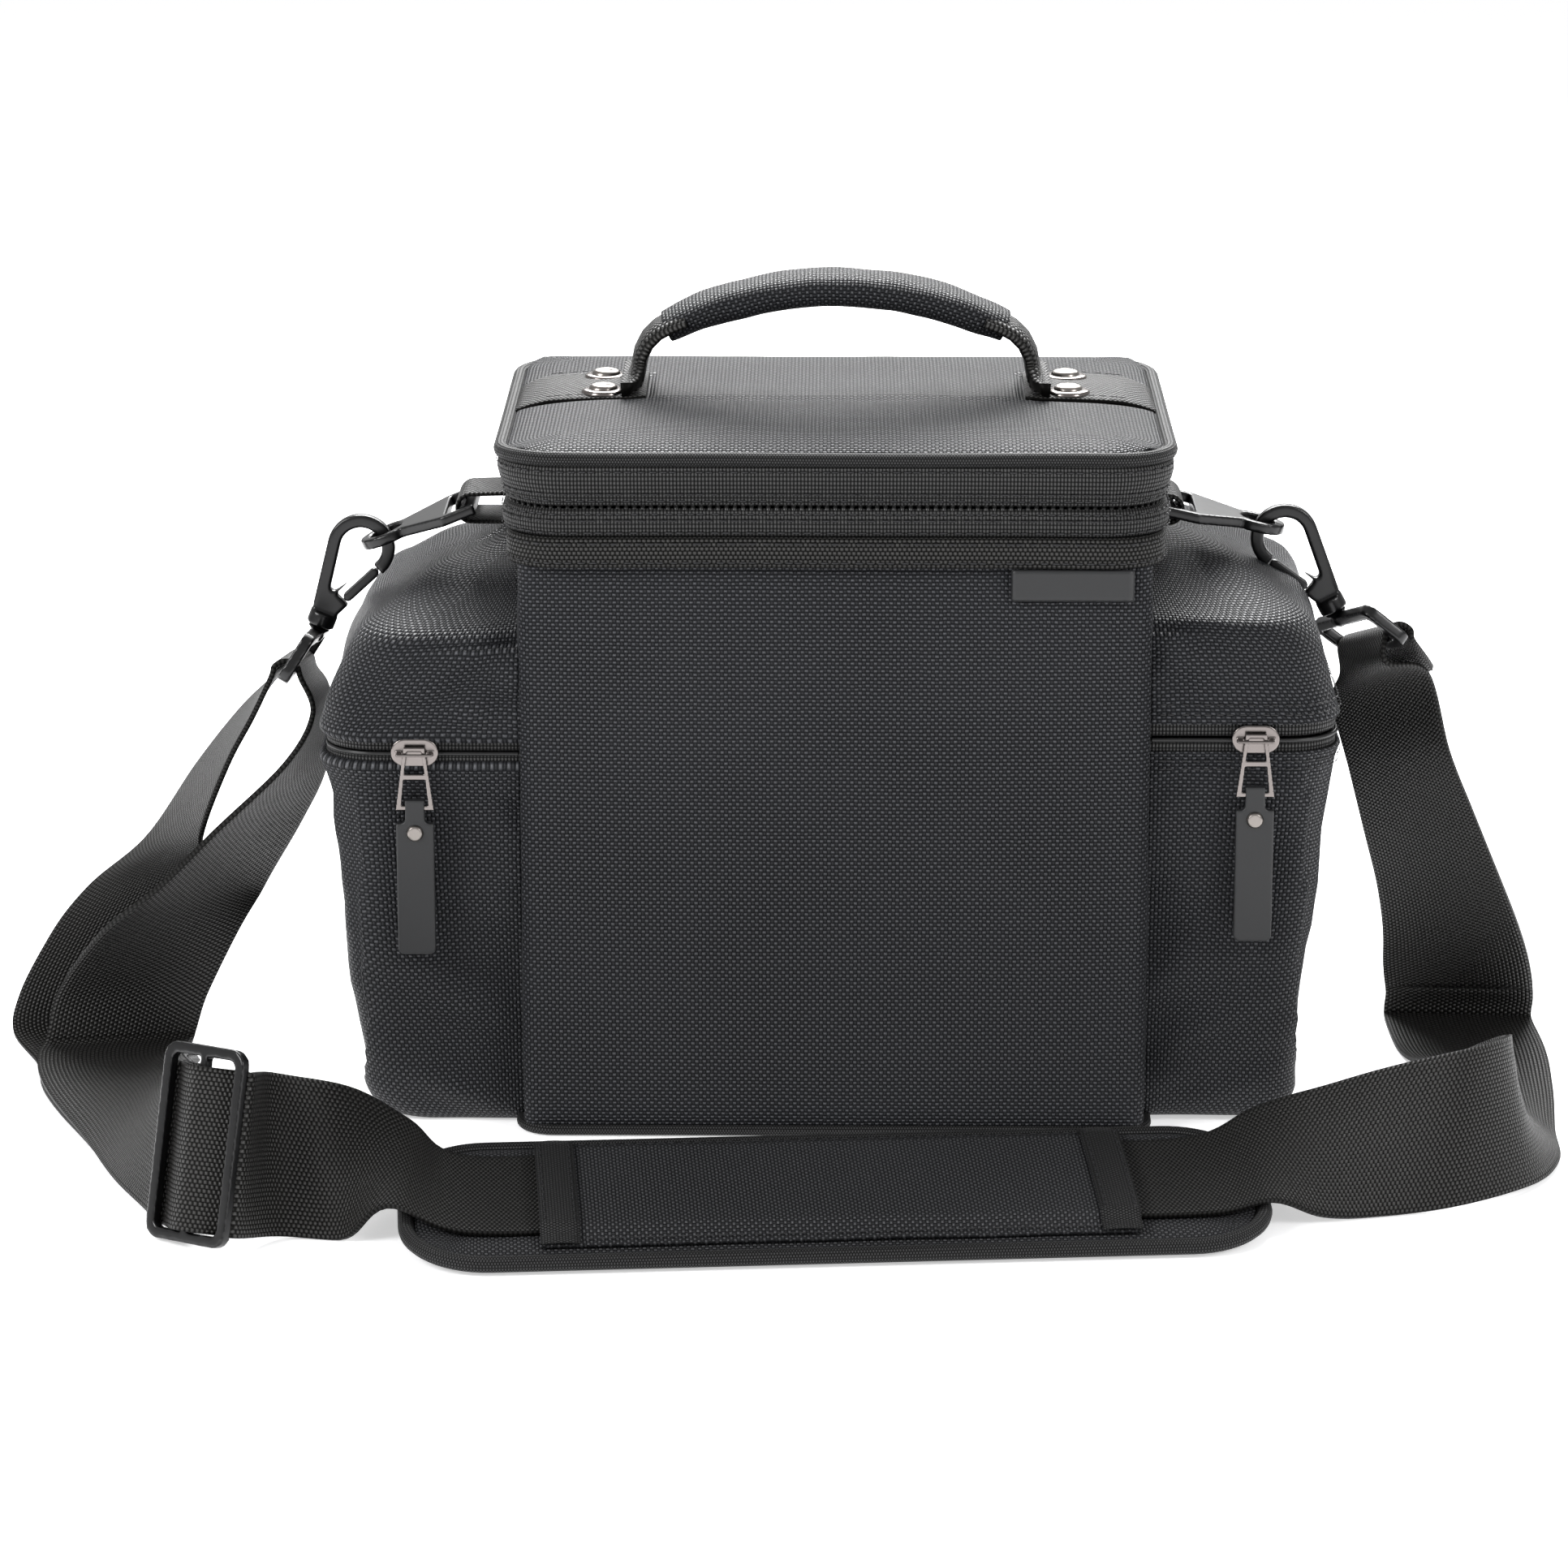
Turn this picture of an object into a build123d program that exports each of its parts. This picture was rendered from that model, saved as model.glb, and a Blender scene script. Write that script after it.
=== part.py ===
"""Shoulder camera bag: padded body, zipped lid with carry handle, two side
pockets, snap-hook hardware and an adjustable webbing strap with a pad.

Frame: millimetres, +Z up, the front faces -Y, the origin lies in the middle
of the base on the floor.  SIDES runs over the left (-1) and right (+1) side.
"""
from build123d import *
import os
from math import cos, degrees, radians, sin

os.makedirs("parts", exist_ok=True)

# ---- driving dimensions ---------------------------------------------------
SIDES = {"left": -1, "right": 1}

BODY_X, BODY_Y = 100.0, 73.0        # half width and half depth of the body
SKIN = 1.4                          # woven shell cloth with its backing
FOAM = 6.0                          # wall foam
LINING = 0.8
PANEL_LOW, PANEL_TOP = 3.4, 187.0   # lower and upper edge of the wall panels
RIM_TOP = 197.0                     # top of the webbing band round the rim
ZIP_Z = 206.0                       # middle of the lid zip
ZIP_GAP = 0.8                       # between the two tapes
TAPE = 1.0                          # zip tape thickness
COIL = 1.6                          # coil height behind the tape
BAND_X, BAND_Y, BAND_R = 104.0, 75.0, 20.0   # outer size of the zip band
LID_SEAM = 219.0                    # lid piping sits on this level
LID_TOP = 228.0                     # crown of the lid

WEB_Y = 14.0                        # middle of the cross webbing on the lid
WEB_WIDTH = 40.0
FOOT_X = 62.0                       # handle foot from the middle
RIVET_X, RIVET_PITCH = 75.0, 23.0
GRIP_HALF, GRIP_TOP = 53.0, 266.0

POCKET_IN, POCKET_OUT = 101.1, 162.0      # pocket walls, measured along X
POCKET_FRONT, POCKET_BACK = -66.0, 64.0
POCKET_WALL = 3.0
POCKET_LOW = 1.6
POCKET_R = 16.0
POCKET_ZIP = {"left": 125.5, "right": 130.5}
EDGE_GAP = 4.6                            # cloth edge to the tape edge at the pocket zip
SLIDER_X = 132.5                          # pocket slider from the middle
MAIN_SLIDER_Y = 46.0

PIVOT_X, PIVOT_Z = 118.0, 194.5     # bar of the strap ring in its webbing loop
STRAP_WIDTH, STRAP_THICK = 50.0, 1.7
PAD_LENGTH, PAD_WIDTH, PAD_THICK = 262.0, 76.0, 6.0


def keep(builder, name):
    """Label a finished piece and write it."""
    builder.part.label = name
    export_step(builder.part, f"parts/{name}.step")


def slab(half_x, half_y, radius, z_low, z_high):
    """Upright prism on a rounded rectangle."""
    with BuildPart() as body:
        with BuildSketch(Plane.XY.offset(z_low)):
            RectangleRounded(2 * half_x, 2 * half_y, radius)
        extrude(amount=z_high - z_low)
    return body


def band(half_x, half_y, radius, wall, z_low, z_high):
    """Closed band of constant wall that runs round the bag."""
    with BuildPart() as body:
        with BuildSketch(Plane.XY.offset(z_low)):
            RectangleRounded(2 * half_x, 2 * half_y, radius)
            RectangleRounded(2 * (half_x - wall), 2 * (half_y - wall), radius - wall,
                             mode=Mode.SUBTRACT)
        extrude(amount=z_high - z_low)
    return body


def plate(x_range, y_range, z_range):
    """Plain rectangular sheet between three pairs of limits."""
    with BuildPart() as body:
        centre = [(low + high) / 2 for low, high in (x_range, y_range, z_range)]
        with Locations(tuple(centre)):
            Box(*(abs(high - low) for low, high in (x_range, y_range, z_range)))
    return body


# ---- body shell -----------------------------------------------------------
keep(plate((-BODY_X, BODY_X), (-BODY_Y, -BODY_Y + SKIN), (PANEL_LOW, PANEL_TOP)), "front_panel")
keep(plate((-BODY_X, BODY_X), (BODY_Y - SKIN, BODY_Y), (PANEL_LOW, PANEL_TOP)), "back_panel")
SIDE_Y = BODY_Y - SKIN - 0.1
for side, s in SIDES.items():
    keep(plate((s * (BODY_X - SKIN), s * BODY_X), (-SIDE_Y, SIDE_Y), (PANEL_LOW, PANEL_TOP)),
         f"{side}_side_panel")

keep(slab(BODY_X - 1, BODY_Y - 1, 10, 0, SKIN), "base_panel")
keep(band(BODY_X + 0.9, BODY_Y + 0.9, 11, 1.8, 0.2, PANEL_LOW - 0.2), "base_piping")

CAVITY_X, CAVITY_Y = BODY_X - SKIN - 0.2, BODY_Y - SKIN - 0.2
FLOOR_TOP = 9.4
keep(slab(CAVITY_X, CAVITY_Y, 10, SKIN + 0.2, FLOOR_TOP), "base_padding")
keep(band(CAVITY_X, CAVITY_Y, 14, FOAM, FLOOR_TOP + 0.2, 200), "wall_padding")

LINER_X, LINER_Y = CAVITY_X - FOAM - 0.2, CAVITY_Y - FOAM - 0.2
with BuildPart() as lining:
    with BuildSketch(Plane.XY.offset(FLOOR_TOP + 0.2)):
        RectangleRounded(2 * LINER_X, 2 * LINER_Y, 8)
    extrude(amount=190)
    with BuildSketch(Plane.XY.offset(FLOOR_TOP + 0.2 + LINING)):
        RectangleRounded(2 * (LINER_X - LINING), 2 * (LINER_Y - LINING), 7.2)
    extrude(amount=190, mode=Mode.SUBTRACT)
keep(lining, "inner_lining")

DIVIDER_X, DIVIDER_THICK = 28.0, 8.0
DIVIDER_Y = LINER_Y - LINING - 0.2
keep(plate((DIVIDER_X, DIVIDER_X + DIVIDER_THICK), (-DIVIDER_Y, DIVIDER_Y),
           (FLOOR_TOP + 1.2, 172)), "padded_divider")

# ---- rim, lid zip and lid -------------------------------------------------
COIL_X, COIL_Y, COIL_R = BAND_X - TAPE - 0.1, BAND_Y - TAPE - 0.1, BAND_R - TAPE - 0.1
LOW_EDGE, HIGH_EDGE = ZIP_Z - ZIP_GAP / 2, ZIP_Z + ZIP_GAP / 2
keep(band(BODY_X + 2, BODY_Y + 1.6, 16, 1.6, PANEL_TOP + 0.2, RIM_TOP), "rim_band")
keep(band(BAND_X, BAND_Y, BAND_R, TAPE, RIM_TOP + 0.2, LOW_EDGE), "lower_zip_tape")
keep(band(COIL_X, COIL_Y, COIL_R, COIL, LOW_EDGE - 2.6, LOW_EDGE), "lower_zip_coil")
keep(band(BAND_X, BAND_Y, BAND_R, TAPE, HIGH_EDGE, LID_SEAM), "upper_zip_tape")
keep(band(COIL_X, COIL_Y, COIL_R, COIL, HIGH_EDGE, HIGH_EDGE + 2.6), "upper_zip_coil")
keep(band(BAND_X + 1.6, BAND_Y + 1.4, BAND_R + 2, 2.8, LID_SEAM + 0.2, LID_SEAM + 3.4), "lid_piping")
keep(slab(COIL_X - 0.2, COIL_Y - 0.2, COIL_R, 211.6, LID_SEAM), "lid_padding")

with BuildPart() as lid_panel:
    for inset, z in ((1.8, LID_SEAM + 0.2), (2.2, LID_SEAM + 4.4), (6.0, LID_TOP - 2), (16.0, LID_TOP)):
        with BuildSketch(Plane.XY.offset(z)):
            RectangleRounded(2 * (BAND_X - inset), 2 * (BAND_Y - inset), BAND_R)
    loft(ruled=True)
keep(lid_panel, "lid_panel")

HINGE_TAB = 52.0                    # half length of the cloth hinge at the back
keep(plate((-HINGE_TAB, HINGE_TAB), (BAND_Y + 0.1, BAND_Y + 1.1), (PANEL_TOP + 1, LOW_EDGE - 0.2)),
     "lid_hinge_cloth")

# ---- cross webbing, rivets and handle -------------------------------------
WEB_TOP = LID_TOP + 1.9
with BuildPart() as lid_webbing:
    with Locations((-70, WEB_Y, LID_TOP + 1.1), (70, WEB_Y, LID_TOP + 1.1)):
        Box(32, WEB_WIDTH, 1.6)
    for s in SIDES.values():
        with BuildSketch(Plane.XZ.offset(-WEB_Y - WEB_WIDTH / 2)):
            with BuildLine():
                Polyline((s * 86, LID_TOP + 0.5), (s * 98.4, LID_TOP - 1.6), (s * 102.6, LID_SEAM + 4.9),
                         (s * 104, LID_SEAM + 4.9), (s * 99.4, LID_TOP + 0.2), (s * 86, WEB_TOP),
                         close=True)
            make_face()
        extrude(amount=WEB_WIDTH)
keep(lid_webbing, "lid_webbing")

RIVETS = [(s * RIVET_X, WEB_Y + e * RIVET_PITCH / 2) for s in (-1, 1) for e in (-1, 1)]
with BuildPart() as rivets:
    with BuildSketch(Plane.XY.offset(WEB_TOP + 0.2)):
        with Locations(*RIVETS):
            Circle(7.6)
    extrude(amount=0.5)
    with BuildSketch(Plane.XY.offset(WEB_TOP + 0.7)):
        with Locations(*RIVETS):
            Circle(5.4)
    extrude(amount=2.0, taper=40)
keep(rivets, "handle_rivets")

with BuildPart() as rivet_backs:
    with BuildSketch(Plane.XY.offset(209.2)):
        with Locations(*RIVETS):
            Circle(7.0)
    extrude(amount=1.0)
keep(rivet_backs, "rivet_backplates")

HANDLE_Z = LID_TOP + 4.6            # handle turns about this level
LEG_WIDTH, LEG_THICK = 24.0, 4.0
with BuildPart() as handle_webbing:
    for s in SIDES.values():
        with BuildSketch(Plane.XZ.offset(-WEB_Y - LEG_WIDTH / 2)):
            with BuildLine():
                Polyline((s * (FOOT_X - 3), HANDLE_Z - 2), (s * (FOOT_X + 2), HANDLE_Z - 2),
                         (s * (FOOT_X + 1.5), 240), (s * (GRIP_HALF + 6), 247),
                         (s * (GRIP_HALF + 2.2), 251), (s * (GRIP_HALF + 1.4), 245.5),
                         (s * (FOOT_X - 3), 238), close=True)
            make_face()
        extrude(amount=LEG_WIDTH)
keep(handle_webbing, "handle_webbing")


def handle_arch(width, height, radius, half_length):
    """Tube of rounded section along the grip's arch."""
    sag = GRIP_TOP - 6 - 249.5
    with BuildPart() as body:
        with BuildLine() as path:
            ThreePointArc((-half_length, WEB_Y, GRIP_TOP - 6 - sag * (half_length / GRIP_HALF) ** 2),
                          (0, WEB_Y, GRIP_TOP - 6),
                          (half_length, WEB_Y, GRIP_TOP - 6 - sag * (half_length / GRIP_HALF) ** 2))
        with BuildSketch(Plane(origin=path.line @ 0, x_dir=(0, 1, 0), z_dir=path.line % 0)):
            RectangleRounded(width, height, radius)
        sweep(path=path.line)
    return body


CORE_W, CORE_H = 17.0, 5.0
grip = handle_arch(27, 12, 5.5, GRIP_HALF)
with BuildPart() as handle_grip:
    add(grip.part)
    add(handle_arch(CORE_W + 0.4, CORE_H + 0.4, 2.2, GRIP_HALF).part, mode=Mode.SUBTRACT)
keep(handle_grip, "handle_grip")
keep(handle_arch(CORE_W, CORE_H, 2, GRIP_HALF - 1), "handle_core")

# ---- blank name patch on the front panel ----------------------------------
PATCH_X, PATCH_W, PATCH_H = 74.0, 38.5, 10.4
keep(plate((PATCH_X - PATCH_W / 2, PATCH_X + PATCH_W / 2), (-BODY_Y - 1.0, -BODY_Y - 0.1),
           (PANEL_TOP - 0.4 - PATCH_H, PANEL_TOP - 0.4)), "name_patch")


# ---- side pockets ---------------------------------------------------------
def pocket_section(s, x_out, trim, z, gap):
    """Rounded pocket outline at one level, drawn gap inside the outer one."""
    x_low, x_high = POCKET_IN + gap, x_out - gap
    y_low, y_high = POCKET_FRONT + trim + gap, POCKET_BACK - trim - gap
    centre = (s * (x_low + x_high) / 2, (y_low + y_high) / 2, z)
    with BuildSketch(Plane(origin=centre)) as section:
        RectangleRounded(x_high - x_low, y_high - y_low, POCKET_R - gap)
    return section.sketch


def pocket_tub(s, z_top):
    """Lower half of a pocket, open at the top."""
    rows = ((POCKET_OUT - 9, 7, POCKET_LOW), (POCKET_OUT - 2, 1, 34), (POCKET_OUT, 0, z_top))
    with BuildPart() as body:
        loft([pocket_section(s, x, trim, z, 0) for x, trim, z in rows], ruled=True)
        rows = [(x, trim, z + (POCKET_WALL if z == POCKET_LOW else 0)) for x, trim, z in rows]
        rows = rows[:-1] + [(POCKET_OUT, 0, z_top + 1)]
        loft([pocket_section(s, x, trim, z, POCKET_WALL) for x, trim, z in rows], ruled=True,
             mode=Mode.SUBTRACT)
    return body


def hood_prism(s, z_low, gap):
    """Sloping hood block, drawn gap inside the outer one."""
    x_in, x_out = POCKET_IN + 0.6 + gap, POCKET_OUT - gap
    middle_y = (POCKET_FRONT + POCKET_BACK) / 2
    half_y = (POCKET_BACK - POCKET_FRONT) / 2 - gap
    radius = POCKET_R - gap
    with BuildPart() as body:
        with BuildSketch(Plane.XZ.offset(-middle_y - half_y)):
            with BuildLine():
                Polyline((s * x_in, z_low), (s * x_out, z_low), (s * x_out, 139.5), (s * (x_out - 4), 144),
                         (s * (x_out - 9), 153 - gap), (s * (x_out - 19), 165 - gap),
                         (s * (POCKET_IN + 9), 180 - gap), (s * x_in, 182.5 - gap), close=True)
            make_face()
        extrude(amount=2 * half_y)
        with BuildSketch(Plane(origin=(s * (x_in - 10 + (x_out - x_in + 10) / 2), middle_y, z_low))):
            RectangleRounded(x_out - x_in + 10, 2 * half_y, radius)
            with Locations((-s * (x_out - x_in + 10) / 4, 0)):
                Rectangle((x_out - x_in + 10) / 2, 2 * half_y)
        extrude(amount=80, mode=Mode.INTERSECT)
    return body


def pocket_zip_strip(s, thick, inset, z_low, z_high):
    """Tape or coil that follows the front, outer side and back of a pocket."""
    x_in, x_out = POCKET_IN - 20, POCKET_OUT + 1.2 - inset
    y_low, y_high = POCKET_FRONT - 1.2 + inset, POCKET_BACK + 1.2 - inset
    radius = POCKET_R + 1.2 - inset
    with BuildPart() as body:
        with BuildSketch(Plane(origin=(s * (x_in + x_out) / 2, (y_low + y_high) / 2, z_low))):
            RectangleRounded(x_out - x_in, y_high - y_low, radius)
            RectangleRounded(x_out - x_in - 2 * thick, y_high - y_low - 2 * thick, radius - thick,
                             mode=Mode.SUBTRACT)
            with Locations((-s * (x_out - x_in - 26) / 2, 0)):
                Rectangle(30, 200, mode=Mode.SUBTRACT)
        extrude(amount=z_high - z_low)
    return body


for side, s in SIDES.items():
    zip_z = POCKET_ZIP[side]
    low, high = zip_z - ZIP_GAP / 2, zip_z + ZIP_GAP / 2
    keep(pocket_tub(s, low - EDGE_GAP), f"{side}_pocket_tub")
    keep(pocket_zip_strip(s, TAPE, 0, low - 8, low), f"{side}_pocket_lower_tape")
    shell = hood_prism(s, high + EDGE_GAP, 0)
    hollow = hood_prism(s, high, POCKET_WALL)
    with BuildPart() as hood:
        add(shell.part)
        add(hollow.part, mode=Mode.SUBTRACT)
    keep(hood, f"{side}_pocket_hood")
    keep(pocket_zip_strip(s, TAPE, 0, high, high + 8), f"{side}_pocket_upper_tape")

# ---- zip sliders, links and rubber pulls ----------------------------------
PLATE_L, PLATE_W = 15.0, 9.0
BRIDGE_OUT = 5.0                    # bridge bar from the tape face
LINK_L, LINK_W, WIRE = 18.0, 12.0, 1.3
LINK_BACK = 1.3                     # the link lies this far behind its hinge line
PULL_L, PULL_W, PULL_T = 48.0, 12.0, 3.0


def slider(face):
    """Slider on a tape whose outer face is the plane's XY; it travels along X."""
    with BuildPart() as body:
        with BuildSketch(face.offset(0.3)):
            SlotOverall(PLATE_L, PLATE_W)
        extrude(amount=1.5)
        with BuildSketch(face.offset(-TAPE - COIL - 1.8)):
            SlotOverall(PLATE_L - 2, PLATE_W - 1)
        extrude(amount=1.3)
        with BuildSketch(face.offset(-TAPE - COIL - 1.8)):
            Rectangle(PLATE_L - 4, 0.36)
        extrude(amount=TAPE + COIL + 2.6)
        with BuildSketch(face.offset(BRIDGE_OUT - 0.45)):
            Rectangle(11.6, 0.9)
        extrude(amount=0.9)
        with BuildSketch(face.offset(1.5)):
            with Locations((-5.0, 0), (5.0, 0)):
                Rectangle(1.6, 0.9)
        extrude(amount=BRIDGE_OUT - 1.5)
    return body


def link(hinge):
    """Wire A-frame: X across, Y down from the hinge line, Z outwards."""
    with BuildPart() as body:
        with BuildSketch(hinge.offset(-LINK_BACK - WIRE / 2)):
            with BuildLine():
                Polyline((-3.3, -2.3), (3.3, -2.3), (LINK_W / 2, LINK_L), (-LINK_W / 2, LINK_L), close=True)
            make_face()
            with BuildLine():
                Polyline((-2.2, -1.1), (2.2, -1.1), (3.3, 6.4), (-3.3, 6.4), close=True)
            make_face(mode=Mode.SUBTRACT)
            with BuildLine():
                Polyline((-3.5, 8.2), (3.5, 8.2), (LINK_W / 2 - 1.7, LINK_L - 1.4),
                         (1.7 - LINK_W / 2, LINK_L - 1.4), close=True)
            make_face(mode=Mode.SUBTRACT)
        extrude(amount=WIRE)
    return body


def pull_tab(hinge):
    """Rubber strip folded through the link's lower bar."""
    bar_y = LINK_L - 0.7
    back = hinge.offset(-LINK_BACK - PULL_T / 2)
    with BuildPart() as body:
        with BuildSketch(back):
            with Locations((0, bar_y - 2.6 + (PULL_L + 2.6) / 2)):
                RectangleRounded(PULL_W, PULL_L + 2.6, 2)
            with Locations((-PULL_W / 2 - 0.6, bar_y), (PULL_W / 2 + 0.6, bar_y)):
                RectangleRounded(7, 10, 1.5, mode=Mode.SUBTRACT)
        extrude(amount=PULL_T)
        with BuildSketch(hinge.offset(-LINK_BACK - WIRE / 2 - 0.35)):
            with Locations((0, bar_y)):
                Rectangle(PULL_W + 2, 2.9)
        extrude(amount=WIRE + 0.7, mode=Mode.SUBTRACT)
        with BuildSketch(back):
            with Locations((0, bar_y + 8)):
                Circle(1.6)
        extrude(amount=PULL_T, mode=Mode.SUBTRACT)
    return body


def pull_rivet(hinge):
    """Domed rivet through both layers of a rubber pull."""
    spot = (0, LINK_L - 0.7 + 8)
    with BuildPart() as body:
        with BuildSketch(hinge.offset(-LINK_BACK - PULL_T / 2 - 0.2)):
            with Locations(spot):
                Circle(1.5)
        extrude(amount=PULL_T + 0.4)
        with BuildSketch(hinge.offset(-LINK_BACK + PULL_T / 2 + 0.1)):
            with Locations(spot):
                Circle(2.8)
        extrude(amount=1.1, taper=30)
    return body


for side, s in SIDES.items():
    tape_face, zip_z = POCKET_FRONT - 1.2, POCKET_ZIP[side]
    seat = Plane(origin=(s * SLIDER_X, tape_face, zip_z), x_dir=(1, 0, 0), z_dir=(0, -1, 0))
    hinge = Plane(origin=(s * SLIDER_X, tape_face - BRIDGE_OUT, zip_z), x_dir=(-1, 0, 0), z_dir=(0, -1, 0))
    keep(slider(seat), f"{side}_pocket_slider")
    keep(link(hinge), f"{side}_pocket_link")
    keep(pull_tab(hinge), f"{side}_pull_tab")
    keep(pull_rivet(hinge), f"{side}_pull_rivet")

    side_seat = Plane(origin=(s * BAND_X, MAIN_SLIDER_Y, ZIP_Z), x_dir=(0, s, 0), z_dir=(s, 0, 0))
    side_hinge = Plane(origin=(s * (BAND_X + BRIDGE_OUT), MAIN_SLIDER_Y, ZIP_Z), x_dir=(0, -s, 0),
                       z_dir=(s, 0, 0))
    keep(slider(side_seat), f"{side}_main_slider")
    keep(link(side_hinge), f"{side}_main_link")

# ---- webbing loops, strap rings, snap hooks and bails ---------------------
RING_REACH = 30.0                   # loop bar to eye centre
EYE_R, BAR = 9.0, 3.4
LOOP_WIDTH, LOOP_R, WEBBING = 25.0, 5.0, 1.6
HOOK_WIRE, HOOK_TOP_R, HOOK_FOOT_R = 4.2, 11.0, 4.6
HOOK_TOP = (25.0, 3.4)              # middle of the hook's round top, along and across
GATE_FROM, GATE_TO, GATE_TILT = 5.0, 20.5, 25.5
EYE_DROP = 7.8                      # hook foot to swivel eye
BAIL_WIRE, BAIL_WIDTH, BAIL_HEIGHT = 3.8, 60.0, 14.0
CLIPS = {
    "left": {"pivot": (117.5, 192.0), "drop": 22, "foot": (-166.5, 0, 154.5), "tip": (-153, 0, 188),
             "bar": (0, -0.985, 0.17), "turn": (-0.53, 0, -0.85), "slip": 0},
    "right": {"pivot": (107.5, 192.0), "drop": 13, "foot": (160.5, 0, 160), "tip": (143.5, 0, 191.5),
              "bar": (0.20, -0.93, 0.30), "turn": (0.74, 0.05, -0.62), "slip": 4},
}


BAIL_BARS = {}                      # bar the webbing turns over: middle and direction


def loop_outline(s, x_in, x_bend, z, radius):
    """Flat loop outline: straight from the wall, round at the outer end."""
    Line((s * x_in, z + radius), (s * x_bend, z + radius))
    ThreePointArc((s * x_bend, z + radius), (s * (x_bend + radius), z), (s * x_bend, z - radius))
    Line((s * x_bend, z - radius), (s * x_in, z - radius))
    Line((s * x_in, z - radius), (s * x_in, z + radius))


for side, s in SIDES.items():
    clip = CLIPS[side]
    pivot_x, pivot_z = clip["pivot"]
    wall = BODY_X + 2.3
    with BuildPart() as ring_loop:
        with BuildSketch(Plane.XZ.offset(-LOOP_WIDTH / 2)):
            with BuildLine():
                loop_outline(s, wall, pivot_x, pivot_z, LOOP_R)
            make_face()
            with BuildLine():
                loop_outline(s, wall + WEBBING, pivot_x, pivot_z, LOOP_R - WEBBING)
            make_face(mode=Mode.SUBTRACT)
        extrude(amount=LOOP_WIDTH)
    keep(ring_loop, f"{side}_ring_loop")

    drop = radians(clip["drop"])
    ring_plane = Plane(origin=(s * pivot_x, 0, pivot_z), x_dir=(s * cos(drop), 0, -sin(drop)),
                       z_dir=(s * sin(drop), 0, cos(drop)))
    with BuildPart() as strap_ring:
        with BuildSketch(ring_plane.offset(-BAR / 2)):
            with BuildLine():
                Polyline((-BAR / 2, -17), (9.5, -17), (RING_REACH - 5, -7), (RING_REACH - 5, 7), (9.5, 17),
                         (-BAR / 2, 17), close=True)
            make_face()
            with Locations((RING_REACH, 0)):
                Circle(EYE_R)
            with Locations((5.0, 0)):
                RectangleRounded(6.4, 27.6, 1, mode=Mode.SUBTRACT)
            with Locations((RING_REACH, 0)):
                Circle(EYE_R - BAR, mode=Mode.SUBTRACT)
        extrude(amount=BAR)
    keep(strap_ring, f"{side}_strap_ring")

    foot, tip = Vector(*clip["foot"]), Vector(*clip["tip"])
    up = (tip - foot).normalized()
    hook_plane = Plane(origin=foot, x_dir=up, z_dir=(0, 1, 0))
    top_x, top_y = HOOK_TOP[0], -s * HOOK_TOP[1]
    tilt = -s * radians(GATE_TILT)
    wall_off = HOOK_FOOT_R - HOOK_WIRE / 2
    gate_start = (3 - sin(tilt) * -s * wall_off, cos(tilt) * -s * wall_off)
    gate_mid = [start + way * (GATE_FROM + GATE_TO) / 2
                for start, way in zip(gate_start, (cos(tilt), sin(tilt)))]
    with BuildPart() as hook:
        with BuildSketch(hook_plane.offset(-HOOK_WIRE / 2)):
            with Locations((top_x, top_y)):
                Circle(HOOK_TOP_R)
            with Locations((3, 0)):
                Circle(HOOK_FOOT_R)
            make_hull()
        extrude(amount=HOOK_WIRE)
        with BuildSketch(hook_plane.offset(-HOOK_WIRE / 2)):
            with Locations((top_x, top_y)):
                Circle(HOOK_TOP_R - HOOK_WIRE)
            with Locations((9.5, 0)):
                Circle(1.2)
            make_hull()
        extrude(amount=HOOK_WIRE, mode=Mode.SUBTRACT)
        with BuildSketch(hook_plane.offset(-HOOK_WIRE / 2)):
            with Locations(Location((gate_mid[0], gate_mid[1], 0), (0, 0, degrees(tilt)))):
                Rectangle(GATE_TO - GATE_FROM, HOOK_WIRE + 2.6)
        extrude(amount=HOOK_WIRE, mode=Mode.SUBTRACT)
        with BuildSketch(Plane(origin=foot - up * 4.2, z_dir=up)):
            Circle(4.6)
            Circle(2.7, mode=Mode.SUBTRACT)
        extrude(amount=4.6)
    keep(hook, f"{side}_snap_hook")

    with BuildPart() as gate:
        with BuildSketch(hook_plane.offset(-1.5)):
            with Locations(Location((gate_mid[0], gate_mid[1], 0), (0, 0, degrees(tilt)))):
                SlotOverall(GATE_TO - GATE_FROM - 0.7, 3.2)
        extrude(amount=3)
    keep(gate, f"{side}_hook_gate")

    bar, turn = Vector(*clip["bar"]).normalized(), Vector(*clip["turn"])
    turn = (turn - bar * turn.dot(bar)).normalized()
    eye = foot - up * EYE_DROP
    middle = eye + bar * clip["slip"] + turn * (BAIL_HEIGHT / 2)
    with BuildPart() as bail:
        with BuildSketch(Plane(origin=middle, x_dir=bar, z_dir=bar.cross(turn)).offset(-BAIL_WIRE / 2)):
            RectangleRounded(BAIL_WIDTH, BAIL_HEIGHT + BAIL_WIRE, 4)
            RectangleRounded(BAIL_WIDTH - 2 * BAIL_WIRE, BAIL_HEIGHT - BAIL_WIRE, 2, mode=Mode.SUBTRACT)
        extrude(amount=BAIL_WIRE)
        eye_side = up - bar * up.dot(bar)
        with BuildSketch(Plane(origin=eye - bar * 2.2, x_dir=eye_side, z_dir=bar)):
            Circle(2.6)
        extrude(amount=4.4)
        with BuildSketch(Plane(origin=foot - up * 5.6, z_dir=up)):
            Circle(3.6)
        extrude(amount=1.1)
        with BuildSketch(Plane(origin=foot - up * 5.6, z_dir=up)):
            Circle(2.2)
        extrude(amount=3.5)
    keep(bail, f"{side}_bail")
    BAIL_BARS[side] = (middle + turn * (BAIL_HEIGHT / 2), bar)

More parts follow.
